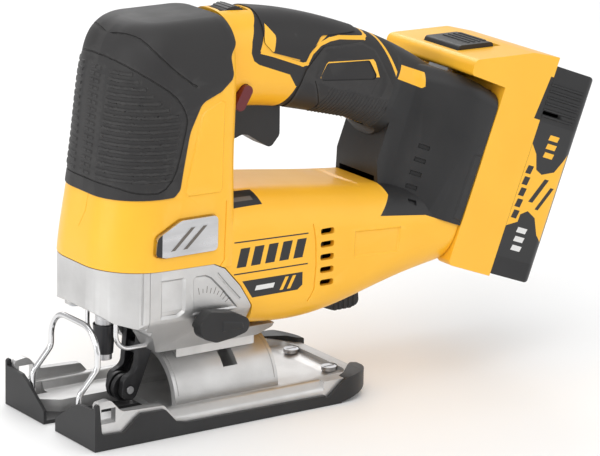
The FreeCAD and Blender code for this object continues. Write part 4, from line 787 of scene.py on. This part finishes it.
@dataclass
class Housing:
    """Yellow clamshell halves, with their panels, seams and plain printed marks."""

    seam_width: float = 0.8
    seam_depth: float = 0.5
    upper_width: float = 1.9
    rear_width: float = 1.6
    wall: float = 20.0
    panel: Outline = field(default_factory=lambda: [
        (23.7, 119.7), (25.8, 117.4), (43.9, 117.2), (45.5, 119.4), (47.4, 161.5), (45.1, 162.4),
        (36.2, 158.6), (33.9, 156.5)])

    @staticmethod
    def front_plate() -> list[Outline]:
        """Yellow plate ahead of the top pad."""
        return [[(76.3, 180.8), (77.9, 178.7), (84.4, 179.7), (85.6, 186.1), (85.4, 187.6), (80.7, 193.5)]]

    @staticmethod
    def upper_stripe() -> Outline:
        """Centre line of the yellow stripe under the top pad."""
        return [(77.5, 180.0), (84.0, 177.9), (102.4, 170.9), (105.0, 171.2), (107.8, 176.0), (113.0, 179.9),
                (119.4, 181.4), (126.0, 181.6), (143.2, 179.0), (145.2, 180.0), (146.0, 184.5)]

    @staticmethod
    def rear_stripe() -> Outline:
        """Centre line of the yellow stripe that runs down behind the handle pad."""
        return [(149.5, 183.5), (153.5, 177.6), (156.4, 169.9), (160.6, 158.6)]

    def build(self) -> None:
        """Make both halves and the screws."""
        for tail, side in (("left", Side.LEFT), ("right", Side.RIGHT)):
            skin = Skin("housing_" + tail, "tool", YELLOW)
            self._trim(skin, side)
            skin.press(side, [self.panel], depth=0.6, slope=0.6, facing=0.5, beyond=self.wall)
            skin.press(side, [[(124.0, 73.2), (124.6, 86.6), (153.0, 85.0), (151.6, 71.8)]], depth=-0.9,
                       slope=0.9, facing=0.5, beyond=self.wall)
            skin.score(side, [(47.6, 112.4), (45.9, 92.4), (45.5, 83.5), (43.0, 80.4)],
                       width=self.seam_width, depth=self.seam_depth, facing=0.5, beyond=self.wall)
            skin.score(side, [(99.2, 93.5), (100.6, 84.0), (101.0, 72.0), (100.0, 60.0), (96.6, 54.5)],
                       width=self.seam_width, depth=self.seam_depth, facing=0.4, beyond=self.wall)
            self._marks(skin, side)
            if side is Side.LEFT:
                skin.score(Side.FRONT, [(-5.2, 119.0), (-4.6, 109.0), (-0.6, 100.6)], width=0.5,
                           depth=0.3, facing=0.5, beyond=-20.0)
                skin.tint(Side.TOP, [[(50.0, -31.0), (72.0, -30.0), (70.5, -21.0), (48.0, -22.0)]], INK,
                          facing=0.3)
                skin.tint(Side.TOP, [[(53.0, -28.4), (68.0, -27.8), (67.6, -25.6), (52.4, -26.2)]],
                          GREY_INK, facing=0.3)
            skin.make(soften=0.25)
        Skin("housing_screws", "tool", DARK_STEEL).make(soften=0.1)

    def _trim(self, skin: Skin, side: Side) -> None:
        """Black bands round the handle, with the yellow stripes left between them.

        Args:
            skin: surface of the half.
            side: side that it faces.
        """
        bands = [[(71.4, 185.8), (74.3, 193.0), (80.7, 193.3), (78.0, 185.5)],
                 [(74.3, 193.0), (79.5, 199.4), (86.0, 199.4), (80.7, 193.3)],
                 [(70.9, 180.2), (71.4, 185.8), (78.0, 185.5), (76.3, 180.6)],
                 [(70.9, 180.2), (76.3, 180.6), (77.9, 178.7), (75.7, 173.9), (72.5, 176.2)],
                 [(75.7, 173.9), (77.9, 180.7), (103.0, 172.0), (96.0, 166.2)],
                 [(94.6, 166.6), (103.0, 176.0), (166.0, 206.0), (168.0, 150.0), (98.4, 160.4)],
                 [(91.6, 146.0), (98.4, 160.6), (120.0, 160.6), (120.0, 138.0), (88.5, 140.0)]]
        skin.tint(side, bands, RUBBER, facing=0.02, beyond=2.0)
        stripes = ribbon(self.upper_stripe(), self.upper_width) + ribbon(self.rear_stripe(), self.rear_width)
        skin.tint(side, stripes + self.front_plate(), YELLOW, facing=0.02, beyond=2.0)

    def _marks(self, skin: Skin, side: Side) -> None:
        """Plain bars and slanted shapes on the motor housing.

        Args:
            skin: surface of the half.
            side: side that it faces.
        """
        rules = [[(52.0, 91.2), (96.0, 90.0), (96.0, 89.3), (52.0, 90.5)],
                 [(52.0, 75.0), (96.0, 74.4), (96.0, 73.7), (52.0, 74.3)]]
        bars = [bar(57.5 + 8.4 * index, 82.6, 5.6, 9.6, 2.4) for index in range(5)]
        badge = [(57.0, 70.6), (93.0, 70.2), (93.0, 63.6), (90.0, 61.4), (63.0, 61.4)]
        skin.tint(side, rules + bars + [badge], INK, facing=0.6, beyond=self.wall)
        stripes = [bar(82.0 + 4.4 * index, 66.0, 2.0, 6.4, 3.4) for index in range(2)]
        skin.tint(side, stripes, YELLOW, facing=0.6, beyond=self.wall)
        skin.tint(side, [bar(70.5, 66.0, 11.0, 2.4, 1.0)], PALE_INK, facing=0.6, beyond=self.wall)


@dataclass
class RearCover:
    """Black rear housing that holds the battery joint."""

    def build(self) -> None:
        """Make both halves, with the raised pad and the small slots beside it."""
        for tail, side in (("left", Side.PACK_LEFT), ("right", Side.PACK_RIGHT)):
            skin = Skin("rear_cover_" + tail, "tool", MOULDED)
            skin.press(side, [[(143.4, 144.0), (151.4, 143.0), (151.4, 179.4), (144.4, 178.4)]],
                       depth=0.8, slope=0.9, facing=0.4, beyond=20.0)
            slots = [bar(119.8, 146.0 + 7.05 * index, 4.8, 2.3) for index in range(5)]
            skin.press(side, slots, depth=-1.2, slope=0.2, facing=0.35, beyond=12.0)
            world = Side.LEFT if side is Side.PACK_LEFT else Side.RIGHT
            skin.tint(world, [[(160.8, 157.0), (164.1, 163.6), (177.4, 158.6), (176.4, 151.8),
                               (174.8, 151.0)]], YELLOW, facing=0.3, beyond=10.0)
            skin.make(soften=0.3)


@dataclass
class Gearcase:
    """Cast gear housing and nose cover with pocket, border and scale marks."""

    knob: tuple[float, float] = (35.0, 52.5)
    mark_count: int = 9
    mark_from: float = 36.0
    mark_step: float = 8.0
    mark_inner: float = 15.4
    short_mark: float = 17.4
    long_mark: float = 18.6
    mark_width: float = 0.35
    flat: float = 0.7
    wall: float = 30.0

    def build(self) -> None:
        """Make the casting and its front cover."""
        skin = Skin("gearcase", "tool", CAST)
        for side in (Side.LEFT, Side.RIGHT):
            skin.press(side, [[(10.0, 57.9), (20.0, 57.6), (23.9, 60.2), (24.2, 75.6), (23.4, 77.6),
                               (10.0, 77.8)]], depth=-1.3, slope=1.2, facing=self.flat, beyond=self.wall)
            skin.press(side, [[(28.4, 57.5), (28.4, 75.8), (30.0, 77.3), (35.4, 77.2), (40.4, 74.8),
                               (46.0, 68.2), (52.8, 61.2), (55.0, 57.5)]], depth=-0.7, slope=0.8,
                       facing=self.flat, beyond=self.wall)
            skin.score(side, [(42.6, 76.6), (48.6, 69.6), (55.4, 62.4)], width=1.3, depth=0.7,
                       facing=self.flat, beyond=self.wall)
            marks = []
            for index in range(self.mark_count):
                angle = math.radians(self.mark_from + self.mark_step * index)
                ends = (self.mark_inner, self.short_mark if index % 2 else self.long_mark)
                line = [(self.knob[0] + radius * math.cos(angle), self.knob[1] + radius * math.sin(angle))
                        for radius in ends]
                marks += ribbon(line, self.mark_width)
            skin.tint(side, marks, GREY_INK, facing=self.flat, beyond=self.wall)
        skin.make(soften=0.35)
        cover = Skin("nose_cover", "tool", CAST)
        for side in (Side.LEFT, Side.RIGHT):
            cover.score(side, [(0.6, 82.0), (0.4, 57.0)], width=0.9, depth=0.5, facing=0.5, beyond=20.0)
        cover.make(soften=0.3)


@dataclass
class Controls:
    """Trigger, lock-off, dial, release lever, selector and the bevel lever."""

    def build(self) -> None:
        """Make each control."""
        Skin("trigger", "trigger", MOULDED).make(soften=0.5)
        Skin("lock_off_button", "lock_off", DARK_RED).make(soften=0.3)
        Skin("speed_dial", "dial", MOULDED).make(soften=0.15)
        lever = Skin("release_lever", "release_lever", STEEL)
        lever.press(Side.LEFT, [[(13.4, 92.4), (16.4, 92.4), (28.0, 103.2), (25.0, 103.2)]], depth=0.3,
                    slope=0.15, facing=0.8, beyond=30.0)
        lever.press(Side.LEFT, [[(20.4, 92.4), (23.4, 92.4), (35.0, 103.2), (32.0, 103.2)]], depth=0.3,
                    slope=0.15, facing=0.8, beyond=30.0)
        fills = [[(13.6, 92.6), (16.2, 92.6), (27.8, 103.0), (25.2, 103.0)],
                 [(20.6, 92.6), (23.2, 92.6), (34.8, 103.0), (32.2, 103.0)]]
        lever.tint(Side.LEFT, fills, GREY_INK, facing=0.8, beyond=30.0)
        lever.tint(Side.LEFT, [[(5.0, 88.0), (9.2, 88.0), (9.2, 108.0), (5.0, 108.0)]], INK, facing=0.05,
                   beyond=28.0)
        lever.make(soften=0.3)
        knob = Skin("orbit_selector", "selector", MOULDED)
        knob.press(Side.LEFT, [[(40.0, 49.6), (40.0, 55.0), (52.0, 53.0), (53.0, 49.4)]], depth=0.5,
                   slope=0.6, facing=0.8, beyond=38.0)
        knob.make(soften=0.9)
        Skin("bevel_lever_arm", "bevel_lever", STEEL).make(soften=0.2)
        Skin("bevel_lever_grip", "bevel_lever", MOULDED).make(soften=0.4)


@dataclass
class BladeEnd:
    """Clamp, roller, fork, guards and lamp under the nose."""

    def build(self) -> None:
        """Make each piece of the blade end."""
        for node, body, finish, soften in (
                ("plunger", "plunger", STEEL, 0.2), ("clamp_core", "plunger", STEEL, 0.2),
                ("clamp_sleeve", "clamp_sleeve", DARK_STEEL, 0.2), ("orbit_fork", "fork", DARK_STEEL, 0.4),
                ("orbit_roller", "roller", DARK_STEEL, 0.3), ("roller_pin", "fork", STEEL, 0.2),
                ("finger_guards", "tool", WIRE, 0.0), ("lamp_lens", "tool", LENS, 0.2),
                ("pivot_pins", "tool", STEEL, 0.1)):
            Skin(node, body, finish).make(soften=soften)


@dataclass
class Shoe:
    """Tilting cast shoe with its slip-on cover, wire guard and screws."""

    scale_start: float = 38.0
    scale_step: float = 2.4
    scale_count: int = 15

    def build(self) -> None:
        """Make the pieces that tilt together."""
        plate = Skin("shoe_plate", "shoe", CAST)
        for sign in (-1.0, 1.0):
            marks = []
            for index in range(self.scale_count):
                length = 2.2 if index % 5 else 3.2
                marks.append(bar(self.scale_start + self.scale_step * index, sign * 28.7, 0.4, length))
            plate.tint(Side.TOP, marks, GREY_INK, facing=0.9, beyond=6.0)
            # Painted shade: the darker copy of the casting, laid along both side edges of the plate's top.
            plate.tint(Side.TOP, [[(26.0, sign * 27.6), (86.0, sign * 27.6), (98.0, sign * 19.0),
                                   (98.0, sign * 30.0), (30.0, sign * 30.0)]], PAINTED_SHADE_CAST, facing=0.9,
                       beyond=6.0)
        for x in (27.0, 84.0):
            plate.score(Side.TOP, [(x, -26.0), (x, 26.0)], width=0.6, depth=0.35, facing=0.15, beyond=8.4)
        plate.make(soften=0.4)
        Skin("sole_cover", "shoe", MOULDED).make(soften=0.3)
        Skin("wire_guard", "shoe", WIRE).make(soften=0.0)
        screws = Skin("shoe_screws", "shoe", STEEL)
        screws.press(Side.TOP, [bar(124.0, sign * 17.0, 6.4, 1.0) for sign in (-1.0, 1.0)], depth=-0.8,
                     slope=0.1, facing=0.9, beyond=9.5)
        screws.make(soften=0.2)
        Skin("clamp_bolt", "tool", STEEL).make(soften=0.2)
        Skin("clamp_nut", "tool", STEEL).make(soften=0.2)


@dataclass
class Battery:
    """Slide-on pack: yellow cover, black case, release button and side marks."""

    rib_count: int = 6
    flat: float = 0.6
    wall: float = 30.0

    @staticmethod
    def label_field() -> list[Outline]:
        """Yellow part of the label on the side of the case, as convex pieces."""
        return [[(178.0, 147.6), (185.8, 151.5), (187.0, 179.9), (183.7, 187.6), (178.0, 193.4)],
                [(185.8, 155.4), (190.2, 158.2), (191.5, 178.2), (187.0, 179.9)],
                [(190.2, 158.2), (196.2, 155.7), (199.2, 181.2), (191.5, 178.2)],
                [(196.2, 155.7), (201.0, 147.4), (205.0, 144.2), (205.0, 192.0), (199.2, 181.2)]]

    def build(self) -> None:
        """Make the pack and its button."""
        cover = Skin("battery_cover", "battery", YELLOW)
        case = Skin("battery_case", "battery", MOULDED)
        for side in (Side.PACK_LEFT, Side.PACK_RIGHT):
            cover.tint(side, [[(174.6, 205.0), (179.4, 205.0), (179.4, 228.0), (177.0, 228.0)]], MOULDED,
                       facing=0.7, beyond=self.wall)
            case.tint(side, [[(178.0, 132.0), (205.0, 132.0), (205.0, 204.4), (178.0, 204.4)]], INK,
                      facing=self.flat, beyond=self.wall)
            case.tint(side, self.label_field(), YELLOW, facing=self.flat, beyond=self.wall)
            blocks = [bar(182.6, 155.0 + 6.0 * index, 3.8, 4.4, 0.8) for index in range(5)]
            slashes = [[(188.4, 163.0), (191.4, 163.0), (197.6, 176.5), (194.6, 176.5)],
                       [(194.2, 160.0), (196.6, 160.0), (202.6, 173.0), (200.2, 173.0)]]
            case.tint(side, blocks + slashes, INK, facing=self.flat, beyond=self.wall)
            case.tint(side, [bar(192.0, 188.6 + 4.6 * index, 6.4, 2.8, 0.6) for index in range(3)],
                      YELLOW, facing=self.flat, beyond=self.wall)
            case.tint(side, [bar(190.4, 138.0 + 4.8 * index, 6.4, 2.8, 0.6) for index in range(3)],
                      PALE_INK, facing=self.flat, beyond=self.wall)
            ribs = [bar(190.6, 207.6 + 3.3 * index, 23.0, 1.5) for index in range(self.rib_count)]
            case.press(side, ribs, depth=0.7, slope=0.4, facing=self.flat, beyond=self.wall)
        case.press(Side.PACK_BACK, [[(-30.0, 132.0), (30.0, 132.0), (30.0, 224.0), (-30.0, 224.0)]],
                   depth=-0.7, slope=1.2, facing=0.8, beyond=200.0)
        cover.make(soften=0.6)
        case.make(soften=0.6)
        button = Skin("battery_button", "battery_button", MOULDED)
        ridges = [bar(140.0 + 3.2 * index, 0.0, 1.5, 22.0) for index in range(4)]
        button.press(Side.PACK_TOP, ridges, depth=0.5, slope=0.3, facing=0.6, beyond=220.0)
        button.make(soften=0.4)
        Skin("battery_foot", "tool", MOULDED).make(soften=0.2)


@dataclass
class NodeFinishes:
    """Every node of the frame in its own finish; those that no skin stands for are shown with it."""

    def build(self) -> None:
        """Give each node the finish of its material slot."""
        slots = {part["node"]: part["material_slot"] for part in frame["record"]["subparts"]}
        for name, node in frame["nodes"].items():
            material = BY_SLOT[slots[name]].material()
            for index in range(len(node.material_slots)):
                node.material_slots[index].material = material
            if not node.material_slots:
                LOG.warning("%s has no material slot", name)


@dataclass
class Studio:
    """Pale floor, soft light and the camera."""

    aim: tuple[float, float, float] = (0.058356, -0.082327, 0.108808)
    azimuth: float = 35.0
    elevation: float = 15.6
    roll: float = 1.3
    distance: float = 1.6
    lens: float = 201.72
    sensor: float = 36.0
    floor_size: float = 6.0
    floor_drop: float = 0.0002
    surroundings: float = 0.62
    lit_point: tuple[float, float, float] = (0.11, 0.0, 0.09)

    def build(self) -> None:
        """Make the floor, the lights, the world and the camera."""
        self._floor()
        self._world()
        target = Vector(self.lit_point)
        for name, place, size, power in (
                ("key_light", (-0.7, -1.1, 1.5), 1.3, 11.0), ("fill_light", (1.3, -1.2, 0.7), 1.4, 5.0),
                ("front_light", (-1.5, 0.1, 0.6), 1.0, 8.0), ("rim_light", (0.6, 1.4, 1.2), 1.2, 9.0),
                ("top_light", (0.1, 0.0, 1.8), 1.6, 7.5)):
            data = bpy.data.lights.new(name, "AREA")
            data.size = size
            data.energy = power
            lamp = bpy.data.objects.new(name, data)
            lamp.location = place
            lamp.rotation_euler = (target - Vector(place)).to_track_quat("-Z", "Y").to_euler()
            bpy.context.collection.objects.link(lamp)
        self._camera()

    def _floor(self) -> None:
        """Wide pale sheet just under the sole."""
        bm = bmesh.new()
        bmesh.ops.create_grid(bm, x_segments=8, y_segments=8, size=self.floor_size / 2,
                              matrix=Matrix.Translation((0.0, 0.0, -self.floor_drop)))
        mesh = bpy.data.meshes.new("floor")
        bm.to_mesh(mesh)
        bm.free()
        material = bpy.data.materials.new("pale_floor")
        material.use_nodes = True
        nodes, links = material.node_tree.nodes, material.node_tree.links
        shader = nodes["Principled BSDF"]
        shader.inputs["Roughness"].default_value = 0.6
        noise = nodes.new("ShaderNodeTexNoise")
        noise.inputs["Scale"].default_value = 3.0
        ramp = nodes.new("ShaderNodeMapRange")
        ramp.inputs["To Min"].default_value = 0.90
        ramp.inputs["To Max"].default_value = 0.93
        links.new(nodes.new("ShaderNodeTexCoord").outputs["Object"], noise.inputs["Vector"])
        links.new(noise.outputs["Fac"], ramp.inputs["Value"])
        links.new(ramp.outputs["Result"], shader.inputs["Base Color"])
        mesh.materials.append(material)
        floor = bpy.data.objects.new("floor", mesh)
        bpy.context.collection.objects.link(floor)

    def _world(self) -> None:
        """Even white surroundings."""
        world = bpy.data.worlds.new("studio")
        world.use_nodes = True
        background = world.node_tree.nodes["Background"]
        background.inputs["Color"].default_value = (1.0, 1.0, 1.0, 1.0)
        background.inputs["Strength"].default_value = self.surroundings
        bpy.context.scene.world = world
        bpy.context.scene.view_settings.view_transform = "Standard"

    def _camera(self) -> None:
        """Long lens from the front left, a little above the tool."""
        turn, rise, lean = math.radians(self.azimuth), math.radians(self.elevation), math.radians(self.roll)
        forward = Vector((math.sin(turn) * math.cos(rise), math.cos(turn) * math.cos(rise), -math.sin(rise)))
        right = Vector((math.cos(turn), -math.sin(turn), 0.0))
        up = right.cross(forward)
        across = right * math.cos(lean) + up * math.sin(lean)
        above = up * math.cos(lean) - right * math.sin(lean)
        place = Matrix((across, above, -forward)).transposed().to_4x4()
        place.translation = Vector(self.aim) - forward * self.distance
        data = bpy.data.cameras.new("camera")
        data.sensor_width = self.sensor
        data.lens = self.lens
        camera = bpy.data.objects.new("camera", data)
        camera.matrix_world = place
        bpy.context.collection.objects.link(camera)
        bpy.context.scene.camera = camera


def main() -> None:
    """Build every sub-assembly in order."""
    logging.basicConfig(level=logging.INFO, format="%(message)s")
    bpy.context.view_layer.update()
    NodeFinishes().build()
    for assembly in (Housing(), NoseGrip(), Handle(), RearCover(), Gearcase(), Controls(), BladeEnd(),
                     Shoe(), Battery()):
        assembly.build()
        LOG.info("built %s", type(assembly).__name__)
    Studio().build()


if __name__ == "__main__":
    main()
